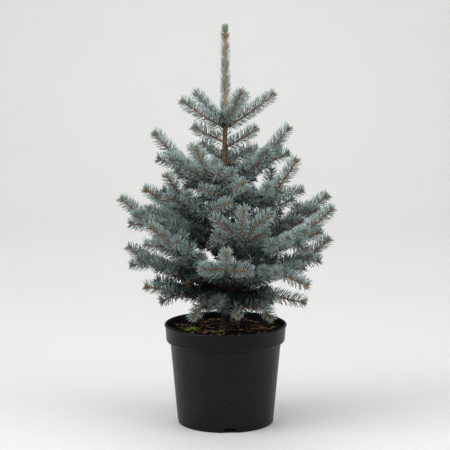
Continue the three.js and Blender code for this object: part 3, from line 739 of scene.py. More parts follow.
def trunk_shoots(limb):
    """Weak shaded shoots on the trunk between the whorls."""
    chance = chance_from(TRUNK_SHOOT_SEED)
    twigs = []
    for index in range(TRUNK_SHOOTS):
        height = TRUNK_SHOOT_FOOT + TRUNK_SHOOT_STEP * index
        parent = SimpleNamespace(place=[trunk_middle(height)])
        length = TRUNK_SHOOT_LENGTH * (0.8 + 0.4 * chance())
        rise = TRUNK_SHOOT_RISE + TRUNK_SHOOT_RISE_CHANCE * chance()
        twig = fine_twig(limb, parent, GOLDEN_TURN * index, rise, length)
        twig.bare = TRUNK_SHOOT_BARE
        twigs.append(twig)
    return twigs


# ------------------------------------------------------------------ keeping masses apart


class Claims:
    """The space already taken, as balls: place, radius, limb and twig."""

    def __init__(self):
        self.places = np.empty((0, 3))
        self.radii = np.empty(0)
        self.limbs = np.empty(0)
        self.twigs = np.empty(0)

    def add(self, places, radii, limb, twig):
        count = len(places)
        self.places = np.vstack([self.places, places])
        self.radii = np.append(self.radii, np.broadcast_to(radii, count))
        self.limbs = np.append(self.limbs, np.full(count, limb))
        self.twigs = np.append(self.twigs, np.full(count, twig))

    def clear(self, places, radius, gap, others):
        room = self.radii[others] + radius + gap
        apart = places[:, None, :] - self.places[others][None, :, :]
        return bool(np.all(np.sum(apart ** 2, axis=-1) > room ** 2))


def clear_of_pot(places, radius):
    middle = trunk_middle(places[:, 2])
    from_trunk = np.hypot(places[:, 0] - middle[:, 0], places[:, 1] - middle[:, 1])
    in_trunk = (places[:, 2] < TRUNK_TIP) & (from_trunk < trunk_radius(places[:, 2]) + radius + CLEAR)
    from_axis = np.hypot(places[:, 0], places[:, 1])
    over_rim = places[:, 2] - radius > POT_HEIGHT + 1
    over_compost = places[:, 2] - radius > COMPOST_TOP + COMPOST_LUMP + 1
    inside = over_compost & (from_axis + radius < BAND_INSIDE_RADIUS - 1)
    return ~in_trunk & (over_rim | inside)


def core_radius(twig, alongs):
    start = twig.start + twig.bare
    share = (alongs - start) / (twig.way.length - start)
    return np.where(alongs <= start, twig.stem, mix(twig.core, CORE_END_RADIUS, share))


def claim_twig(claims, twig, number):
    length = twig.way.length
    alongs = np.arange(twig.start, length + TUFT + 1e-6, BALL_STEP)
    radii = core_radius(twig, np.minimum(alongs, length))
    claims.add(stations(twig.way, alongs).place, radii, twig.limb.index, number)


def fitting_length(twig, claims, others, first, gap, shortest):
    """The length, of a few tries, at which a twig meets nothing, or 0."""
    for share in TWIG_TRIES:
        length = twig.way.length * share
        if length < shortest:
            return 0
        places = stations(twig.way, np.arange(first, length + TUFT + 1e-6, BALL_STEP)).place
        if np.all(clear_of_pot(places, twig.core + 1)) and claims.clear(places, twig.core, gap, others):
            return length
    return 0


def read_limb(row, index):
    keys = "whorl name height bearing length rise fork_rise tip tip_rise tip_turn words is_bough".split()
    limb = SimpleNamespace(**dict(zip(keys, row)))
    limb.fork_shoots = limb.words.split()
    limb.seed = 101 + index * 37
    limb.index = index
    return limb


def grow_crown():
    """The masses of the crown: for each limb its way and its twigs, coarse ones first."""
    masses = []
    for index, row in enumerate(LIMBS):
        limb = read_limb(row, index)
        way = limb_way(limb)
        start = limb.length * BOUGH_SHARE + CLEAR if limb.is_bough else 0
        bare = 0 if limb.is_bough else STEM_BARE
        stem = BOUGH_END_RADIUS if limb.is_bough else STEM_RADIUS
        shoot = make_twig(limb, way, start, bare, stem, CORE_RADIUS, 0)
        masses.append(SimpleNamespace(limb=limb, way=way, start=start, twigs=[shoot]))
    claims = Claims()
    number = 0
    for mass in masses:
        claim_twig(claims, mass.twigs[0], number)
        number += 1
        if mass.limb.is_bough:
            places = stations(mass.way, np.arange(0, mass.start, BALL_STEP)).place
            claims.add(places, BOUGH_FOOT_RADIUS, mass.limb.index, -1)
    for mass in masses:
        for twig in side_twigs(mass.limb, mass.way, mass.start):
            others = claims.limbs != mass.limb.index
            length = fitting_length(twig, claims, others, twig.bare, MASS_GAP, SHORTEST_TWIG)
            if length > 0:
                twig.way = cut_way(twig.way, length)
                mass.twigs.append(twig)
                claim_twig(claims, twig, number)
                number += 1
    for mass in masses:
        add_fine_twigs(mass, fine_twigs(mass, chance_from(mass.limb.seed + 7)), claims, number)
        number += len(mass.twigs)
    inner = SimpleNamespace(index=len(LIMBS), whorl="low", name="inner", length=0, is_bough=False)
    shoots = SimpleNamespace(limb=inner, way=None, start=0, twigs=[])
    add_fine_twigs(shoots, trunk_shoots(inner), claims, number)
    return masses + [shoots]


def add_fine_twigs(mass, twigs, claims, number):
    """Keeps each fine twig that clears all twigs but the wood it springs from."""
    spring = FINE_CORE + CORE_RADIUS + FINE_GAP
    for twig in twigs:
        root = twig.way.places[0]
        near_root = np.linalg.norm(claims.places - root, axis=-1) < spring * 2
        others = ~(near_root & (claims.limbs == mass.limb.index))
        length = fitting_length(twig, claims, others, twig.bare + spring, FINE_GAP, FINE_SHORTEST)
        if length > 0:
            twig.way = cut_way(twig.way, length)
            mass.twigs.append(twig)
            claim_twig(claims, twig, number)
            number += 1


# ------------------------------------------------------------------ needles, buds and stems


NEEDLE_TRIANGLES = tube_triangles(len(NEEDLE_STOPS), NEEDLE_SIDES)


def needle_shapes(roots, first_way, last_way, spine, lengths):
    """Stiff three-sided spikes, thick almost to their tips, bent evenly from one way to another."""
    along = np.array(NEEDLE_STOPS)[None, :, None]
    bend = first_way[:, None] * along + (last_way - first_way)[:, None] * along ** 2 / 2
    middles = roots[:, None] + bend * lengths[:, None, None]
    tips = roots + (first_way + last_way) / 2 * lengths[:, None]
    across = unit(np.cross(first_way, spine))
    over = np.cross(first_way, across)
    angle = np.arange(NEEDLE_SIDES) / NEEDLE_SIDES * 2 * math.pi
    ring = across[:, None] * np.cos(angle)[:, None] + over[:, None] * np.sin(angle)[:, None]
    radii = np.array(NEEDLE_WIDTHS)[None, :, None, None] * NEEDLE_RADIUS
    rings = middles[:, :, None] + ring[:, None] * radii
    points = np.concatenate([rings.reshape(len(roots), -1, 3), roots[:, None], tips[:, None]], axis=1)
    triangles = NEEDLE_TRIANGLES[None] + points.shape[1] * np.arange(len(roots))[:, None, None]
    return points.reshape(-1, 3), triangles.reshape(-1, 3)


def add_needles(batches, way, alongs, turns, tints, looks, random):
    """Needles at places along a way, turned round it, each in the batch of its tint.

    looks says how long they are, how far out they lean above and below, and how far the ones
    below sweep up to the sides."""
    turns = turns + radians(looks.sweep) * np.cos(turns) * (1 - np.sin(turns)) / 2
    spot = stations(way, alongs)
    out = spot.side * np.cos(turns)[:, None] + spot.above * np.sin(turns)[:, None]
    over = (np.sin(turns) + 1) / 2
    tilt = mix(looks.tilt_below, looks.tilt_above, over) + random.normal(0, NEEDLE_TILT_CHANCE, len(alongs))
    tilt = radians(tilt)
    curve = radians(NEEDLE_CURVE)
    first = spot.ahead * np.cos(tilt)[:, None] + out * np.sin(tilt)[:, None]
    last = spot.ahead * np.cos(tilt - curve)[:, None] + out * np.sin(tilt - curve)[:, None]
    last = unit(last + np.array([0, 0, looks.lift]))
    lengths = looks.length * mix(looks.below_share, 1, over)
    lengths = lengths * random.uniform(*NEEDLE_LENGTH_CHANCE, len(alongs))
    roots = spot.place + out * np.reshape(looks.stem, (-1, 1)) * 0.8
    tips = roots + (first + last) / 2 * lengths[:, None]
    kept = clear_of_pot(tips, 0.5)
    for tint in set(tints):
        chosen = kept & (tints == tint)
        if np.any(chosen):
            points, triangles = needle_shapes(
                roots[chosen], first[chosen], last[chosen], spot.ahead[chosen], lengths[chosen])
            batches.setdefault(tint, Batch()).add(points, triangles)


def needle_looks(**changes):
    looks = dict(
        length=NEEDLE_LENGTH, tilt_above=NEEDLE_TILT_ABOVE, tilt_below=NEEDLE_TILT_BELOW,
        sweep=NEEDLE_SWEEP, lift=0.1, below_share=NEEDLE_BELOW_SHARE, stem=SHOOT_END_RADIUS)
    looks.update(changes)
    return SimpleNamespace(**looks)


def in_rows(alongs, first, last, random):
    """Draws places along a twig together into the rows that its spirals of needles make."""
    rows = np.round(alongs / NEEDLE_ROW) * NEEDLE_ROW + random.normal(0, 0.3, len(alongs))
    return np.clip(rows, first, last)


def golden_turns(count, random):
    turns = radians(GOLDEN_TURN * np.arange(count) + random.uniform(0, 360))
    return turns + random.normal(0, NEEDLE_TURN_CHANCE, count)


def shoot_tints(twig, alongs, random):
    """Which tint each spray has: silver on the year's growth and the crown's outside, partly painted
    light; near black green further in, partly older needles and partly painted shade.
    """
    spot = stations(twig.way, alongs)
    from_axis = np.hypot(spot.place[:, 0], spot.place[:, 1])
    reach = np.interp(spot.place[:, 2], CROWN_HEIGHTS, CROWN_RADII)
    depth = from_axis / reach + random.normal(0, DEPTH_CHANCE)
    depth = depth + random.normal(0, DEPTH_CHANCE, len(alongs))
    depth = depth + WHORL_DEPTH.get(twig.limb.whorl, 0)
    if twig.order == 0:
        depth = depth + END_SHOOT_DEPTH * (alongs > twig.limb.length)
    # Some needles at random count as deeper, for painted shade between the needles.
    depth = depth - SHADE_STEP * (random.uniform(0, 1, len(alongs)) < SHADE_SHARE)
    return np.where(depth > SILVER_DEPTH, "silver", np.where(depth > BLUE_DEPTH, "blue", "deep"))


def add_shoot_needles(batches, twig, random):
    """The needles along one twig. They part along its sides, where its bark shows between them."""
    length = twig.way.length
    first = twig.start + twig.bare * 0.6
    per_cm = NEEDLES_PER_CM * (1 if twig.order < 2 else FINE_COUNT_SHARE)
    count = int((length - first) / 10 * per_cm)
    alongs = mix(first, length, (np.arange(count) + 0.5) / count)
    alongs = in_rows(alongs, first, length, random)
    turns = golden_turns(count, random)
    kept = random.uniform(0, 1, count) > NEEDLE_PARTING * np.cos(turns) ** 2
    alongs, turns = alongs[kept], turns[kept]
    ending = np.clip((alongs - (length - ENDING)) / ENDING, 0, 1)
    looks = needle_looks(
        length=NEEDLE_LENGTH * fine_share(twig) * mix(1, ENDING_LENGTH_SHARE, ending),
        tilt_above=mix(NEEDLE_TILT_ABOVE, ENDING_TILT_ABOVE, ending),
        tilt_below=mix(NEEDLE_TILT_BELOW, ENDING_TILT_BELOW, ending),
        stem=stem_radius(twig, alongs))
    add_needles(batches, twig.way, alongs, turns, shoot_tints(twig, alongs, random), looks, random)


def add_tuft(batches, twig, random):
    """The short needles that close round a twig's end bud."""
    alongs = np.full(TUFT_NEEDLES, twig.way.length - 1.0) + random.uniform(-3, 2, TUFT_NEEDLES)
    looks = needle_looks(
        length=TUFT_NEEDLE * fine_share(twig), tilt_above=TUFT_TILT_ABOVE, tilt_below=TUFT_TILT_BELOW,
        lift=0.05, stem=1.4, sweep=0, below_share=1)
    tints = np.full(TUFT_NEEDLES, "tip" if twig.order == 0 else "blue")
    add_needles(batches, twig.way, alongs, golden_turns(TUFT_NEEDLES, random), tints, looks, random)


def fine_share(twig):
    return 1 if twig.order < 2 else FINE_LENGTH_SHARE


def stem_radius(twig, alongs):
    """The radius of the wood along a twig or a limb."""
    if twig.order == 2:
        return mix(FINE_FOOT_RADIUS, FINE_END_RADIUS, alongs / twig.way.length)
    if twig.order == 1 or twig.limb.length == 0:
        return mix(SHOOT_FOOT_RADIUS, SHOOT_END_RADIUS, alongs / twig.way.length)
    limb = twig.limb
    places = [0, limb.length * BOUGH_SHARE, limb.length, limb.length + 8, twig.way.length]
    radii = [BOUGH_FOOT_RADIUS, BOUGH_END_RADIUS, LIMB_FORK_RADIUS, SHOOT_FOOT_RADIUS, SHOOT_END_RADIUS]
    return np.interp(alongs, places, radii)


def add_stem(batch, twig, random):
    """A tapered twig with the low ridges that the needles' cushions leave."""
    length = twig.way.length
    first = trunk_radius(twig.way.places[0][2]) * 0.6 if is_on_trunk(twig) else 0
    count = max(3, int((length - first) / TWIG_STEP))
    alongs = np.linspace(first, length, count)
    spot = stations(twig.way, alongs)
    ridges = random.uniform(0.88, 1.14, (count, TWIG_SIDES))
    radii = stem_radius(twig, alongs)[:, None] * ridges
    peak = spot.place[-1] + spot.ahead[-1] * 2
    add_tube(batch, spot.place, spot.side, spot.above, radii, TWIG_SIDES, peak)


def is_on_trunk(twig):
    root = twig.way.places[0]
    return math.hypot(root[0], root[1]) < 4


def add_bud(batch, place, ahead, kind, size=1.0):
    """A pointed bud of overlapping scales: a spindle that steps in at the edge of each scale.

    kind is the length and width of such a bud."""
    length, width = kind[0] * size, kind[1] * size
    helper = np.array([0.0, 0.0, 1.0]) if abs(ahead[2]) < 0.9 else np.array([1.0, 0.0, 0.0])
    side = unit(np.cross(helper, ahead))
    above = np.cross(ahead, side)
    rings = len(BUD_STEPS)
    places = place + ahead * (np.array(BUD_STEPS) * length)[:, None]
    turns = np.arange(BUD_SIDES)[None, :] * 4 * math.pi / BUD_SIDES
    scaly = 1 + 0.1 * np.cos(turns + np.arange(rings)[:, None])
    radii = (np.array(BUD_WIDTHS) * width / 2)[:, None] * scaly
    sides, aboves = np.tile(side, (rings, 1)), np.tile(above, (rings, 1))
    add_tube(batch, places, sides, aboves, radii, BUD_SIDES, place + ahead * length)


def add_end_buds(batch, twig, random):
    """An end bud with a few smaller ones set round its foot."""
    end = stations(twig.way, twig.way.length)
    ahead, side, above = end.ahead[0], end.side[0], end.above[0]
    size, around = BUD_SIZES[twig.order], BUDS_ROUND_FOOT[twig.order]
    add_bud(batch, end.place[0] - ahead, ahead, END_BUD, size)
    start = random.uniform(0, 2 * math.pi)
    for index in range(around):
        turn = start + index * 2 * math.pi / around
        out = side * math.cos(turn) + above * math.sin(turn)
        back = random.uniform(2, 5)
        place = end.place[0] - ahead * back + out * SHOOT_END_RADIUS * 0.6
        add_bud(batch, place, unit(ahead * 0.75 + out), FOOT_BUD, size)
    if twig.order == 0:
        for share in SIDE_BUD_PLACES:
            add_side_bud(batch, twig, twig.way.length - twig.limb.tip * (1 - share), random)


def add_side_bud(batch, twig, along, random):
    spot = stations(twig.way, along)
    turn = random.uniform(0, 2 * math.pi)
    out = spot.side[0] * math.cos(turn) + spot.above[0] * math.sin(turn)
    add_bud(batch, spot.place[0] + out * 1.2, unit(spot.ahead[0] + out), SIDE_BUD)


# ------------------------------------------------------------------ materials


def linear(code):
    """A colour such as "#8aa3a3" as the linear values that shaders take."""
    values = [int(code[place:place + 2], 16) / 255 for place in (1, 3, 5)]
    return tuple(v / 12.92 if v <= 0.04045 else ((v + 0.055) / 1.055) ** 2.4 for v in values) + (1.0,)


def add_node(tree, kind, settings, links=()):
    """Adds a node. A setting is a property or an input, and a link is (input, source socket)."""
    made = tree.nodes.new(kind)
    for name, value in settings.items():
        if isinstance(name, str) and hasattr(made, name):
            setattr(made, name, value)
        else:
            made.inputs[name].default_value = value
    for name, source in links:
        tree.links.new(made.inputs[name], source)
    return made


def new_material(name, colour, roughness, ior=1.5, constants=()):
    """A material with its plain values on the shader's own sockets."""
    material = bpy.data.materials.new(name)
    material.use_nodes = True
    tree = material.node_tree
    shader = tree.nodes["Principled BSDF"]
    shader.inputs["Base Color"].default_value = linear(colour)
    shader.inputs["Roughness"].default_value = roughness
    shader.inputs["IOR"].default_value = ior
    for key, value in constants:
        shader.inputs[key].default_value = value
    return material, tree, shader


def object_place(tree):
    return add_node(tree, "ShaderNodeTexCoord", {}).outputs["Object"]


def noise(tree, place, grain, detail=3.0, roughness=0.55):
    """Soft noise whose patches are about as wide as the grain, in millimetres."""
    settings = {"Scale": 1 / (grain * MM), "Detail": detail, "Roughness": roughness}
    return add_node(tree, "ShaderNodeTexNoise", settings, [("Vector", place)]).outputs["Fac"]


def between(tree, value, low, high):
    """Stretches a value so that low becomes 0 and high becomes 1."""
    settings = {"From Min": low, "From Max": high, "clamp": True}
    return add_node(tree, "ShaderNodeMapRange", settings, [("Value", value)]).outputs["Result"]


def blended(tree, share, first, last):
    """Goes from one colour to another. Each is a hex code or a socket."""
    settings, links = {"data_type": "RGBA"}, [(0, share)]
    for name, colour in ((6, first), (7, last)):
        if isinstance(colour, str):
            settings[name] = linear(colour)
        else:
            links.append((name, colour))
    return add_node(tree, "ShaderNodeMix", settings, links).outputs[2]


def bumped(tree, shader, height, depth, strength=1.0):
    """Relief of a real depth in millimetres."""
    settings = {"Distance": depth * MM, "Strength": strength}
    bump = add_node(tree, "ShaderNodeBump", settings, [("Height", height)])
    tree.links.new(shader.inputs["Normal"], bump.outputs["Normal"])


def mottled(name, plain, roughness, pattern, span, colours, **settings):
    """A material that goes from one colour to another over noise of a grain and detail. Gives its
    share of the second colour too, for the relief."""
    material, tree, shader = new_material(name, plain, roughness, **settings)
    share = between(tree, noise(tree, object_place(tree), *pattern), *span)
    tree.links.new(shader.inputs["Base Color"], blended(tree, share, *colours))
    return material, tree, shader, share


def moulded_polypropylene():
    """Black recycled polypropylene from a polished mould: a soft sheen over faint orange peel,
    with a greyer scuff here and there and a few specks of dust."""
    material, tree, shader = new_material(
        "moulded_polypropylene", "#110f15", 0.38, 1.49, [("Specular IOR Level", 0.2)])
    place = object_place(tree)
    scuff = between(tree, noise(tree, place, 60, 5.0, 0.7), 0.5, 0.75)
    wall = blended(tree, scuff, "#0e0c12", "#151219")
    # The band under the lip is painted near black: painted shade from the lip that overhangs it.
    height = add_node(tree, "ShaderNodeSeparateXYZ", {}, [("Vector", place)]).outputs["Z"]
    shaded_band = between(tree, height, (POT_BODY_TOP - 3) * MM, (POT_BODY_TOP + 5) * MM)
    colour = blended(tree, shaded_band, wall, "#040305")
    # Dust grains of about 1 mm, far apart, drawn a little larger than life.
    dust = add_node(
        tree, "ShaderNodeTexVoronoi", {"Scale": 1 / (14 * MM), "feature": "F1"}, [("Vector", place)])
    speck = between(tree, dust.outputs["Distance"], 0.07, 0.03)
    rare = between(tree, noise(tree, place, 45, 1.0), 0.5, 0.58)
    dusty = add_node(tree, "ShaderNodeMath", {"operation": "MULTIPLY"}, [(0, speck), (1, rare)])
    colour = blended(tree, dusty.outputs[0], colour, "#7a7878")
    tree.links.new(shader.inputs["Base Color"], colour)
    shine = noise(tree, place, 25, 4.0)
    rough = add_node(
        tree, "ShaderNodeMapRange", {"To Min": 0.34, "To Max": 0.46}, [("Value", shine)])
    tree.links.new(shader.inputs["Roughness"], rough.outputs["Result"])
    bumped(tree, shader, noise(tree, place, 2.2, 2.0), 0.05, 0.5)
    return material


def peat_compost():
    """Damp peat with composted bark: near black crumbs with red-brown fibre in it. The near black
    is partly the damp peat and partly painted shade between the crumbs.
    """
    material, tree, shader = new_material(
        "peat_compost", "#120c08", 0.92, constants=[("Specular IOR Level", 0.08)])
    place = object_place(tree)
    fibre = between(tree, noise(tree, place, 7, 6.0, 0.75), 0.42, 0.68)
    patch = between(tree, noise(tree, place, 38, 3.0), 0.45, 0.65)
    # The crumbs' near black is partly the peat's own colour and partly painted shade.
    crumbs_and_shade = blended(tree, fibre, "#030202", "#120c08")
    colour = blended(tree, patch, crumbs_and_shade, blended(tree, fibre, "#050403", "#1c130d"))
    tree.links.new(shader.inputs["Base Color"], colour)
    bumped(tree, shader, noise(tree, place, 2.5, 6.0, 0.8), 1.6)
    return material


def dry_bark_chip():
    """Composted pine bark, broken and dried: tan to dark red-brown from chip to chip."""
    material, tree, shader = new_material(
        "dry_bark_chip", "#6d4c31", 0.88, constants=[("Specular IOR Level", 0.15)])
    place = object_place(tree)
    chip = between(tree, noise(tree, place, 9, 1.0), 0.52, 0.66)
    grain = between(tree, noise(tree, place, 1.2, 3.0), 0.3, 0.7)
    pale = blended(tree, chip, "#150d08", "#bd9464")
    dark = blended(tree, chip, "#050302", "#523a25")
    tree.links.new(shader.inputs["Base Color"], blended(tree, grain, pale, dark))
    bumped(tree, shader, grain, 0.3)
    return material


def perlite_grain():
    """Expanded volcanic glass: chalky off-white crumbs stained by the peat."""
    material, tree, shader, _ = mottled(
        "perlite_grain", "#b9ab97", 0.9, (6, 3.0), (0.35, 0.7), ("#d9cebd", "#8a7256"))
    bumped(tree, shader, noise(tree, object_place(tree), 0.8, 3.0), 0.3)
    return material


def dry_root_fibre():
    """Dry grass, root hair and fallen needles: straw to tan."""
    material, tree, shader, _ = mottled(
        "dry_root_fibre", "#96764c", 0.8, (14, 2.0), (0.35, 0.65), ("#5a3e24", "#c8a877"))
    bumped(tree, shader, noise(tree, object_place(tree), 0.7, 2.0), 0.1)
    return material


def cushion_moss(name, fresh, old):
    """Cushion moss: fresh green tips over older olive leaves."""
    material, tree, shader, _ = mottled(name, fresh, 0.85, (8, 4.0), (0.4, 0.62), (fresh, old))
    bumped(tree, shader, noise(tree, object_place(tree), 1.0, 2.0), 0.4)
    return material


def spruce_bark():
    """Thin bark: smooth tan on the leader, golden brown with dark needle scars on last year's
    wood, and grey-brown scales on the old foot, painted darker as shade under the crown."""
    material, tree, shader = new_material("spruce_bark", "#8a6a45", 0.85)
    place = object_place(tree)
    height = add_node(tree, "ShaderNodeSeparateXYZ", {}, [("Vector", place)]).outputs["Z"]
    age = between(tree, height, OLD_BARK[0] * MM, OLD_BARK[1] * MM)
    leader = blended(tree, between(tree, noise(tree, place, 3.5, 3.0), 0.35, 0.7), "#cb9c66", "#9b6c40")
    scar = between(tree, noise(tree, place, 2.6, 4.0, 0.7), 0.44, 0.6)
    second = blended(tree, scar, "#453220", "#a5804f")
    first_year = between(tree, height, LEADER_BARK[0] * MM, LEADER_BARK[1] * MM)
    young = blended(tree, first_year, second, leader)
    # Scales of 4 mm, parted by darker cracks.
    scales = add_node(
        tree, "ShaderNodeTexVoronoi", {"Scale": 1 / (5 * MM), "feature": "DISTANCE_TO_EDGE"},
        [("Vector", place)])
    crack = between(tree, scales.outputs["Distance"], 0.0, 0.22)
    flake = between(tree, noise(tree, place, 6, 4.0), 0.35, 0.7)
    # The old foot's scales and cracks are painted darker than their own grey-brown, as painted shade under
    # the crown.
    old = blended(tree, crack, "#140f0b", blended(tree, flake, "#33281e", "#4c3d2f"))
    tree.links.new(shader.inputs["Base Color"], blended(tree, age, young, old))
    bumped(tree, shader, crack, 0.5, 0.7)
    return material


def young_twig_bark():
    """A year-old spruce twig: bare orange-brown bark, ridged by the needles' cushions, which stand
    2.5 mm apart, light on their crowns and dark between."""
    material, tree, shader, cushion = mottled(
        "young_twig_bark", "#935a33", 0.62, (2.4, 2.0, 0.6), (0.4, 0.62), ("#6f4225", "#c08350"))
    bumped(tree, shader, cushion, 0.35, 0.8)
    return material


def bough_bark():
    """Three-year-old wood: the orange has weathered to brown with grey flakes."""
    material, tree, shader, flake = mottled(
        "bough_bark", "#5f4531", 0.85, (3, 4.0), (0.4, 0.66), ("#4a3222", "#84654a"))
    bumped(tree, shader, flake, 0.4, 0.8)
    return material


def papery_bud():
    """Resting buds: papery orange-brown scales with paler edges."""
    material, tree, shader, edge = mottled(
        "papery_bud", "#a8673a", 0.6, (1.6, 2.0), (0.45, 0.65), ("#8f4f28", "#c98a56"))
    bumped(tree, shader, edge, 0.2, 0.7)
    return material


def waxy_needle(name, colour, pale, bloom):
    """A stiff needle under a bloom of wax, which scatters light softly and greys its green. The
    wax lies unevenly from needle to needle, in patches of 5 mm."""
    return mottled(
        name, colour, 0.52, (5, 2.0), (0.35, 0.68), (colour, pale), ior=1.45,
        constants=[("Sheen Weight", bloom), ("Sheen Roughness", 0.5)])[0]


# ------------------------------------------------------------------ pot


def pot_stops():
    """The pot's section, from the middle of its underside, out and up the wall, over the lip
    and down the inside to the middle of the floor."""
    lip, top = POT_RIM_RADIUS, POT_HEIGHT
    stops = [
        (4, 0), (POT_FOOT_RADIUS - 22, 0), (POT_FOOT_RADIUS - 2.5, 0), (POT_FOOT_RADIUS - 0.8, 0.7),
        (POT_FOOT_RADIUS, 2.5),
    ]
    for height in (20, 60, 100, 140, POT_BODY_TOP - 1):
        share = (height - 2.5) / (POT_BODY_TOP - 2.5)
        stops.append((mix(POT_FOOT_RADIUS, POT_BODY_TOP_RADIUS, share), height))
    stops += [
        (POT_BODY_TOP_RADIUS + 0.3, POT_BODY_TOP + 1.2),
        (POT_BODY_TOP_RADIUS + 1.2, POT_BODY_TOP + 2.2),
        (POT_BODY_TOP_RADIUS + 3.2, POT_BODY_TOP + 3.2),
        (BAND_FOOT_RADIUS - 3.6, BAND_FOOT_HEIGHT - 3.6),
        (BAND_FOOT_RADIUS - 1.5, BAND_FOOT_HEIGHT - 2.3),
        (BAND_FOOT_RADIUS - 0.3, BAND_FOOT_HEIGHT - 0.6),
        (BAND_FOOT_RADIUS + 0.1, BAND_FOOT_HEIGHT + 1.5),
        (lip - 2.3, top - 7.4), (lip - 2.0, top - 6.4), (lip - 0.9, top - 5.5), (lip - 0.2, top - 4.6),
        (lip, top - 3.6), (lip - 0.2, top - 2.5), (lip - 0.8, top - 1.4), (lip - 1.8, top - 0.5),
        (lip - 2.8, top), (lip - 3.6, top - 0.3), (lip - 4.1, top - 1.4),
        (BAND_INSIDE_RADIUS, BAND_FOOT_HEIGHT + 2),
        (POT_BODY_TOP_RADIUS - POT_WALL, POT_BODY_TOP + 3),
        (POT_FOOT_RADIUS - POT_WALL, POT_FLOOR), (4, POT_FLOOR),
    ]
    return [(radius, height, 0, 0) for radius, height in stops]


def notch_cutter(bearing):
    """A block as wide as a drain notch, narrowed at its top, set across the pot's bottom edge."""
    below, depth = 5, 24
    start_clean()
    height = NOTCH_HEIGHT + below
    bpy.ops.mesh.primitive_cube_add(size=1, location=(0, 0, 0))
    cutter = bpy.context.object
    edit_all(cutter)
    size = (NOTCH_FOOT_WIDTH * MM, depth * MM, height * MM)
    bpy.ops.transform.resize(value=size, center_override=(0, 0, 0))
    select_faces(cutter, lambda face: face.normal.z > 0.9)
    share = NOTCH_TOP_WIDTH / NOTCH_FOOT_WIDTH
    bpy.ops.transform.resize(value=(share, 1, 1), center_override=(0, 0, 0))
    bpy.ops.object.mode_set(mode="OBJECT")
    middle = NOTCH_INNER_RADIUS + depth / 2
    turn = math.radians(bearing)
    cutter.location = (
        middle * math.cos(turn) * MM, middle * math.sin(turn) * MM, (height / 2 - below) * MM)
    cutter.rotation_euler = (0, 0, turn - math.radians(270))
    return cutter


def make_pot():
    pot = turned("pot_shell", pot_stops(), POT_SIDES)
    for index in range(NOTCH_COUNT):
        cutter = notch_cutter(NOTCH_FIRST_BEARING + index * 360 / NOTCH_COUNT)
        apply_modifier(pot, "BOOLEAN", operation="DIFFERENCE", solver="EXACT", object=cutter)
        bpy.data.objects.remove(cutter)
    add_mould_marks(pot)
    smooth_by_angle(pot, 40)
    finish_piece(pot, moulded_polypropylene(), ["pot"])


def add_mould_marks(pot):
    """Short raised lines low on the wall, where the mould's halves and slides met."""
    start_clean()
    edit_all(pot)
    for height in MARK_HEIGHTS:
        bpy.ops.mesh.select_all(action="SELECT")
        bpy.ops.mesh.bisect(plane_co=(0, 0, height * MM), plane_no=(0, 0, 1))
    middle = sum(MARK_HEIGHTS) / 2

    def is_mark(face):
        place = face.center
        bearing = math.degrees(math.atan2(place.y, place.x)) % 360
        level = abs(place.z / MM - middle) < 0.5 and math.hypot(place.x, place.y) > POT_FOOT_RADIUS * MM
        return level and any(low <= bearing <= high for low, high in MARK_BEARINGS)

    select_faces(pot, is_mark)
    bpy.ops.mesh.extrude_region_shrink_fatten(TRANSFORM_OT_shrink_fatten={"value": MARK_RELIEF * MM})
    bpy.ops.object.mode_set(mode="OBJECT")


# ------------------------------------------------------------------ compost and moss


def compost_stops():
    """The plug's side inside the pot, then its top, drawn in to the middle in even rings."""
    slack = 0.5
    inner = POT_FOOT_RADIUS - POT_WALL
    side = [
        (60, POT_FLOOR + 0.4), (92, POT_FLOOR + 0.4), (inner - slack + 1.6, 24),
        (POT_BODY_TOP_RADIUS - POT_WALL - slack, POT_BODY_TOP + 3),
        (BAND_INSIDE_RADIUS - slack, BAND_FOOT_HEIGHT), (BAND_INSIDE_RADIUS, COMPOST_TOP - 4),
        (132, COMPOST_TOP - 2),
    ]
    top = [(radius, COMPOST_TOP) for radius in range(128, 4, -4)]
    return [(radius, height, 0, 0) for radius, height in side + top]


def make_compost():
    compost = turned("compost_plug", compost_stops(), COMPOST_SIDES)
    select_faces(compost, lambda face: face.center.z > (COMPOST_TOP - 3) * MM)
    bpy.ops.mesh.subdivide(number_cuts=1)
    bpy.ops.object.mode_set(mode="OBJECT")
    surface = compost.vertex_groups.new(name="surface")
    for vertex in compost.data.vertices:
        radius = math.hypot(vertex.co.x, vertex.co.y) / MM
        if vertex.co.z > (COMPOST_TOP - 3) * MM and radius < COMPOST_EDGE:
            share = min(1, (radius - 8) / 24, (COMPOST_EDGE - radius) / 6)
            surface.add([vertex.index], share, "REPLACE")
    for grain, height in COMPOST_HEAVES:
        heave(compost, "CLOUDS", grain, height, "surface")
    compost.data.shade_smooth()
    return surface_of(finish_piece(compost, peat_compost(), ["compost"]))


def surface_of(piece):
    """A piece's faces, to be looked down on from above."""
    corners = [vertex.co for vertex in piece.data.vertices]
    return BVHTree.FromPolygons(corners, [face.vertices for face in piece.data.polygons])


def surface_under(ground, across, along):
    """A place on the compost and the way that its surface faces there."""
    place, normal, _, _ = ground.ray_cast((across * MM, along * MM, (POT_HEIGHT + 40) * MM), (0, 0, -1))
    if place is None:
        return None
    return np.array(place) / MM, np.array(normal)


def scattered_places(random, count, radius):
    """Places spread evenly over a disc, out of the trunk's foot."""
    places = []
    while len(places) < count:
        spot = random.uniform(-radius, radius, 2)
        if BITS_FROM < math.hypot(*spot) < radius:
            places.append(spot)
    return places


def turned_frame(normal, turn, tip):
    """Three directions for a small thing on a surface: lengthwise, across and up."""
    up = unit(normal + tip)
    helper = np.array([math.cos(turn), math.sin(turn), 0.0])
    ahead = unit(helper - up * np.dot(helper, up))
    return np.array([ahead, np.cross(up, ahead), up])


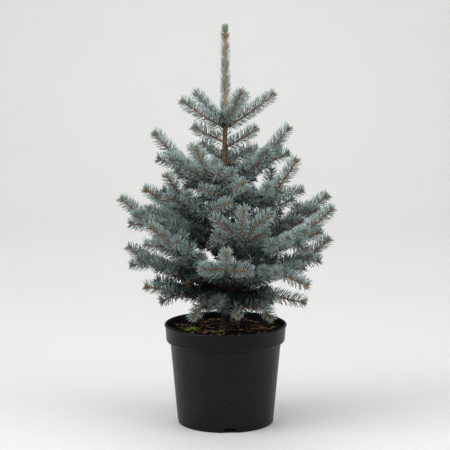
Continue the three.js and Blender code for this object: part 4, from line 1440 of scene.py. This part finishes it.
def chip_shape(random):
    """A flat broken chip, one unit long: an uneven outline under a smaller top."""
    angle = np.arange(CHIP_CORNERS) / CHIP_CORNERS * 2 * math.pi
    reach = random.uniform(0.32, 0.55, CHIP_CORNERS)
    level = np.zeros(CHIP_CORNERS)
    outline = np.stack([np.cos(angle) * reach, np.sin(angle) * reach * 0.6, level], axis=-1)
    rings = [outline * 0.8 - [0, 0, 0.12], outline, outline * 0.75 + [0, 0, 0.12]]
    points = np.concatenate(rings + [[[0, 0, -0.12]], [[0, 0, 0.16]]])
    return points, tube_triangles(3, CHIP_CORNERS)


def scatter_bits(ground, name, count, sizes, material, seed, flatness=1.0):
    """Chips or grains strewn over the compost, each half sunk and tipped its own way."""
    random = np.random.default_rng(seed)
    batch = Batch()
    for across, along in scattered_places(random, count, CHIPS_TO):
        found = surface_under(ground, across, along)
        if found is None:
            continue
        place, normal = found
        points, triangles = chip_shape(random)
        size = random.uniform(*sizes)
        frame_now = turned_frame(normal, random.uniform(0, 2 * math.pi), random.normal(0, 0.35, 3))
        points = (points * [size, size, size * flatness]) @ frame_now + place + normal * size * 0.06
        batch.add(points, triangles)
    batch.piece(name, material, "compost")


def strand_places(ground, across, along, random):
    """Places along one strand, which wanders over the compost up to the pot's wall."""
    length = random.uniform(*STRAND_LENGTHS)
    turn = random.uniform(0, 2 * math.pi)
    bend = random.normal(0, STRAND_BEND)
    stride = length / STRAND_RINGS
    places = []
    for step in range(STRAND_RINGS):
        found = surface_under(ground, across, along)
        if found is None:
            break
        lift = 0.5 + 1.4 * abs(step / (STRAND_RINGS - 1) - 0.5) * random.uniform(0.5, 1.5)
        places.append(found[0] + [0, 0, lift])
        across += math.cos(turn) * stride
        along += math.sin(turn) * stride
        turn += bend * stride
        if math.hypot(across, along) > STRAND_END_TO:
            break
    return np.array(places)


def scatter_strands(ground, count, seed):
    """Curved straws and root hairs that lie on the compost, ends a little raised."""
    random = np.random.default_rng(seed)
    batch = Batch()
    for across, along in scattered_places(random, count, STRANDS_TO):
        places = strand_places(ground, across, along, random)
        if len(places) < 3:
            continue
        ahead = unit(np.gradient(places, axis=0))
        side = unit(np.cross(ahead, [0, 0, 1.0]))
        radii = np.full(len(places), random.uniform(*STRAND_RADII))
        above, peak = np.cross(ahead, side), places[-1] + ahead[-1]
        add_tube(batch, places, side, above, radii, STRAND_SIDES, peak)
    batch.piece("dry_strands", dry_root_fibre(), "compost")


def make_moss(ground):
    """Patches of stubby stars, ragged at the edge and domed in a few lumps."""
    materials = {
        tint: cushion_moss(f"cushion_moss_{tint}", *colours) for tint, colours in MOSS_TINTS.items()}
    for index, (name, across, along, width, depth, tint) in enumerate(MOSS_PATCHES):
        random = np.random.default_rng(MOSS_SEED + index)
        batch = Batch()
        for _ in range(int(width * depth * MOSS_PER_SQUARE)):
            spot = random.normal(0, MOSS_SCATTER, 2)
            radius = math.hypot(*spot)
            ragged = MOSS_EDGE + MOSS_RAGGED * math.sin(5 * math.atan2(spot[1], spot[0]) + index)
            if radius > ragged:
                continue
            here = across + spot[0] * width, along + spot[1] * depth
            found = surface_under(ground, *here)
            if found is None:
                continue
            place, normal = found
            lumps = 0.6 + 0.4 * math.sin(here[0] * 0.55 + index) * math.sin(here[1] * 0.5 + index)
            dome = (1 - (radius / 0.5) ** 2) * MOSS_DOME * lumps
            add_moss_tuft(batch, place + [0, 0, dome - MOSS_SUNK], normal, random)
        batch.piece(f"{name}_tufts", materials[tint], "moss", [name] if name == "moss_left" else [])


def add_moss_tuft(batch, place, normal, random):
    """One stubby star of moss: a five-sided cone with a waist."""
    axes = turned_frame(normal, random.uniform(0, 6.28), random.normal(0, MOSS_STAR_TIP, 3))
    height = random.uniform(*MOSS_STAR_HEIGHTS)
    places = np.array([place, place + axes[2] * height * 0.55])
    radii = np.array(MOSS_STAR_RADII)[:, None] * random.uniform(0.6, 1.25, (2, MOSS_SIDES))
    sides = np.tile(axes[0], (2, 1))
    above = np.tile(axes[1], (2, 1))
    add_tube(batch, places, sides, above, radii, MOSS_SIDES, place + axes[2] * height)


# ------------------------------------------------------------------ trunk


def make_trunk():
    """The trunk is drawn up ring by ring along its sway, then given the relief of its bark."""
    heights = list(np.arange(TRUNK_FOOT, TRUNK_TIP - 1, TRUNK_STEP)) + [TRUNK_TIP]
    stops = []
    for height in heights:
        across, along, _ = trunk_middle(height)
        stops.append((float(trunk_radius(height)), float(height), float(across), float(along)))
    trunk = turned("trunk_bark", stops, TRUNK_SIDES)
    edit_all(trunk)
    bpy.ops.mesh.subdivide(number_cuts=1)
    bpy.ops.object.mode_set(mode="OBJECT")
    foot = trunk.vertex_groups.new(name="old_wood")
    whole = trunk.vertex_groups.new(name="whole")
    for vertex in trunk.data.vertices:
        height = vertex.co.z / MM
        if height > TRUNK_FOOT + 1:
            share = float(np.interp(height, BARK_HEIGHTS, BARK_SHARES))
            foot.add([vertex.index], share, "REPLACE")
            whole.add([vertex.index], 1.0, "REPLACE")
    heave(trunk, "VORONOI", 6, 1.5, "old_wood")
    heave(trunk, "CLOUDS", 3, 0.7, "whole")
    smooth_by_angle(trunk, 60)
    finish_piece(trunk, spruce_bark(), ["trunk"])


# ------------------------------------------------------------------ limbs, twigs and needles


def add_bough(batch, mass, random):
    """The woody limb from inside the trunk to its last fork, with flaky relief."""
    limb = mass.limb
    first = trunk_radius(limb.height) * 0.5
    alongs = np.arange(first, limb.length + LIMB_STEP, LIMB_STEP)
    spot = stations(mass.way, alongs)
    relief = random.uniform(0.93, 1.1, (len(alongs), LIMB_SIDES))
    swelling = 1 + 0.35 * np.exp(-((alongs - trunk_radius(limb.height)) / 6) ** 2)
    radii = (stem_radius(mass.twigs[0], alongs) * swelling)[:, None] * relief + 0.12
    peak = spot.place[-1] + spot.ahead[-1] * 2
    add_tube(batch, spot.place, spot.side, spot.above, radii, LIMB_SIDES, peak)


def nodes_of(masses, prefix):
    names = []
    for mass in masses:
        name = f"{prefix}_{mass.limb.name}"
        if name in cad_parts:
            names.append(name)
    return names


def make_crown():
    masses = grow_crown()
    materials = {tint: waxy_needle(f"waxy_needle_{tint}", *looks) for tint, looks in NEEDLE_TINTS.items()}
    twig_bark, limb_bark, bud = young_twig_bark(), bough_bark(), papery_bud()
    for number, whorl in enumerate(WHORLS):
        own = [mass for mass in masses if mass.limb.whorl == whorl]
        random = np.random.default_rng(500 + number)
        needles, stems, boughs, buds = {}, Batch(), Batch(), Batch()
        for mass in own:
            for twig in mass.twigs:
                add_shoot_needles(needles, twig, random)
                add_tuft(needles, twig, random)
                add_stem(stems, twig, random)
                add_end_buds(buds, twig, random)
            if mass.limb.length > 0:
                add_bough(boughs, mass, random)
                add_old_needles(needles, mass, random)
        if whorl == "crown":
            add_leader(needles, buds, random)
            add_trunk_needles(needles, random)
        replaced = nodes_of(own, "needles") + (["needles_leader"] if whorl == "crown" else [])
        for tint in sorted(needles):
            needles[tint].piece(f"needles_{whorl}_{tint}", materials[tint], "needles", replaced)
        stems.piece(f"twigs_{whorl}", twig_bark, "bark")
        buds.piece(f"buds_{whorl}", bud, "bark")
        if boughs.count:
            boughs.piece(f"boughs_{whorl}", limb_bark, "bark", nodes_of(own, "bough"))


def add_old_needles(batches, mass, random):
    """A few dark needles hold on along the older wood of a limb: dark partly for their age and partly
    as painted shade inside the crown.
    """
    first = 12
    last = max(mass.start, first + 5)
    count = int((last - first) / 10 * OLD_NEEDLES_PER_CM)
    if count < 1:
        return
    alongs = mix(first, last, (np.arange(count) + 0.5) / count)
    looks = needle_looks(length=NEEDLE_LENGTH * LIMB_OLD_NEEDLE_SHARE, stem=BOUGH_END_RADIUS)
    tints = np.full(count, "deep")
    add_needles(batches, mass.way, alongs, golden_turns(count, random), tints, looks, random)


def trunk_way(foot, head):
    """The trunk's own sway between two heights, as a way that leads straight up."""
    way = walk(trunk_middle(foot), 90, 90, 90, head - foot)
    way.places = trunk_middle(foot + way.alongs)
    return way


def add_trunk_needles(batches, random):
    """Old needles that hold on along the trunk: few under the top whorl, more and darker below,
    and a dark collar where the crown's shoots leave it. Their dark tint is partly their age and
    partly painted shade inside the crown."""
    for foot, head, count, tint in TRUNK_NEEDLES:
        way = trunk_way(foot, head)
        alongs = np.sort(random.uniform(0, way.length, count))
        looks = needle_looks(
            length=OLD_NEEDLE, tilt_above=OLD_NEEDLE_TILT, tilt_below=OLD_NEEDLE_TILT,
            sweep=0, below_share=1, stem=trunk_radius(foot + alongs))
        tints = np.where(random.uniform(0, 1, count) < 0.7, tint, "blue")
        add_needles(batches, way, alongs, golden_turns(count, random), tints, looks, random)


def add_leader(batches, buds, random):
    """The leader: needles close along its tan stem, thinning upwards, a pale brush round its end."""
    way = trunk_way(LEADER_FOOT, LEADER_END)
    count = int(way.length / 10 * LEADER_NEEDLES_PER_CM)
    rising = np.sort(random.uniform(0, 1, count)) ** 1.15
    lean = mix(52, 44, rising)
    looks = needle_looks(
        length=LEADER_NEEDLE * mix(1, 0.84, rising), tilt_above=lean, tilt_below=lean, sweep=0, lift=0,
        below_share=1, stem=3.4)
    tints = np.where(rising + random.normal(0, 0.15, count) > 0.92, "tip", "silver")
    alongs = rising * (way.length - 7)
    add_needles(batches, way, alongs, golden_turns(count, random), tints, looks, random)
    add_leader_brush(batches, way, random)
    for index in range(LEADER_END_BUDS):
        out = heading(10 + index * 360 / LEADER_END_BUDS, 0)
        place = trunk_middle(LEADER_END - 11) + out * 2.6
        add_bud(buds, place, unit(out + [0, 0, 0.8]), LEADER_END_BUD)
    for height, bearing in LEADER_SIDE_BUDS:
        out = heading(bearing, 0)
        add_bud(buds, trunk_middle(height) + out * 2.8, unit(out + [0, 0, 0.8]), LEADER_SIDE_BUD)


def add_leader_brush(batches, way, random):
    """Needles that stand straight up round the end bud and end level."""
    count = BRUSH_NEEDLES
    outward = np.sqrt(random.uniform(0, 1, count))
    lean = mix(0, 10, outward)
    looks = needle_looks(
        length=BRUSH_NEEDLE, tilt_above=lean, tilt_below=lean, sweep=0, lift=0.3, below_share=1,
        stem=mix(0.5, BRUSH_RADIUS, outward))
    tints = np.where(random.uniform(0, 1, count) < 0.75, "tip", "silver")
    alongs = np.full(count, way.length - 1.5)
    add_needles(batches, way, alongs, golden_turns(count, random), tints, looks, random)


# ------------------------------------------------------------------ floor, light and camera


def studio_paper():
    """Matt background paper in pale grey, painted lighter where it lies than where it hangs and darker
    high on the wall: painted falloff of the lamps' light.
    """
    material, tree, shader = new_material("studio_paper", "#e2e2e1", 0.95)
    tooth = noise(tree, object_place(tree), 400, 2.0)
    place = add_node(tree, "ShaderNodeSeparateXYZ", {}, [("Vector", object_place(tree))])
    level = blended(tree, tooth, "#eeeeed", "#f0f0ef")
    rising = blended(tree, tooth, "#e0e0df", "#e3e3e2")
    # Painted light: lighter on the floor near the plant, darker up the sweep and the wall.
    paper = blended(tree, between(tree, place.outputs["Y"], -0.2, 1.6), level, rising)
    paper = blended(tree, between(tree, place.outputs["Z"], 0.5, 1.9), paper, "#dbdbda")
    tree.links.new(shader.inputs["Base Color"], paper)
    return material


def select_back_edge(floor):
    """Leaves the floor in edit mode with just its back edge selected."""
    for vertex in floor.data.vertices:
        vertex.select = vertex.co.y > FLOOR_BACK - 0.1
    for edge in floor.data.edges:
        edge.select = all(floor.data.vertices[index].select for index in edge.vertices)
    bpy.ops.object.mode_set(mode="EDIT")
    bpy.ops.mesh.select_mode(type="EDGE")


def make_stage():
    """A floor of paper that sweeps up behind the plant in one curve."""
    start_clean()
    bpy.ops.mesh.primitive_plane_add(size=1, location=(0, 0, 0))
    floor = bpy.context.object
    floor.name = "studio_floor"
    edit_all(floor)
    depth, middle = FLOOR_BACK - FLOOR_FRONT, (FLOOR_BACK + FLOOR_FRONT) / 2
    bpy.ops.transform.resize(value=(FLOOR_WIDTH, depth, 1), center_override=(0, 0, 0))
    bpy.ops.transform.translate(value=(0, middle, 0))
    bpy.ops.object.mode_set(mode="OBJECT")
    select_back_edge(floor)
    for bend in range(SWEEP_BENDS):
        low, high = [math.pi / 2 * step / SWEEP_BENDS for step in (bend, bend + 1)]
        back = SWEEP_RADIUS * (math.sin(high) - math.sin(low))
        rise = SWEEP_RADIUS * (math.cos(low) - math.cos(high))
        bpy.ops.mesh.extrude_region_move(TRANSFORM_OT_translate={"value": (0, back, rise)})
    bpy.ops.mesh.extrude_region_move(TRANSFORM_OT_translate={"value": (0, 0, WALL_RISE)})
    bpy.ops.object.mode_set(mode="OBJECT")
    floor.data.shade_smooth()
    floor.data.materials.append(studio_paper())


def add_area_light(name, place, target, size, power):
    light = bpy.data.lights.new(name, "AREA")
    light.shape = "DISK"
    light.size = size
    light.energy = power
    lamp = bpy.data.objects.new(name, light)
    bpy.context.scene.collection.objects.link(lamp)
    lamp.location = place
    way = np.array(target) - np.array(place)
    level = math.hypot(way[0], way[1])
    lamp.rotation_euler = (math.atan2(level, -way[2]), 0, math.atan2(way[1], way[0]) - math.pi / 2)


def light_scene():
    world = bpy.data.worlds.new("studio_air")
    world.use_nodes = True
    background = world.node_tree.nodes["Background"]
    background.inputs["Color"].default_value = linear("#f4f6f8")
    background.inputs["Strength"].default_value = AIR_LIGHT
    bpy.context.scene.world = world
    for softbox in SOFTBOXES:
        add_area_light(*softbox)
    bpy.context.scene.view_settings.view_transform = "Standard"


def place_camera():
    lens = bpy.data.cameras.new("camera")
    lens.lens = CAMERA_LENS
    lens.sensor_width = SENSOR_WIDTH
    camera = bpy.data.objects.new("camera", lens)
    bpy.context.scene.collection.objects.link(camera)
    camera.location = [value * MM for value in CAMERA_PLACE]
    camera.rotation_euler = (math.radians(90 - CAMERA_PITCH), 0, 0)
    bpy.context.scene.camera = camera


# ------------------------------------------------------------------ the whole scene

place_camera()
light_scene()
make_stage()
make_pot()
soil = make_compost()
scatter_bits(
    soil, "bark_chips", count=250, sizes=(3, 13), material=dry_bark_chip(), seed=61)
scatter_bits(
    soil, "perlite_grains", count=46, sizes=(1.6, 3.2), material=perlite_grain(), seed=62, flatness=2.2)
scatter_strands(soil, count=90, seed=63)
make_moss(soil)
make_trunk()
make_crown()
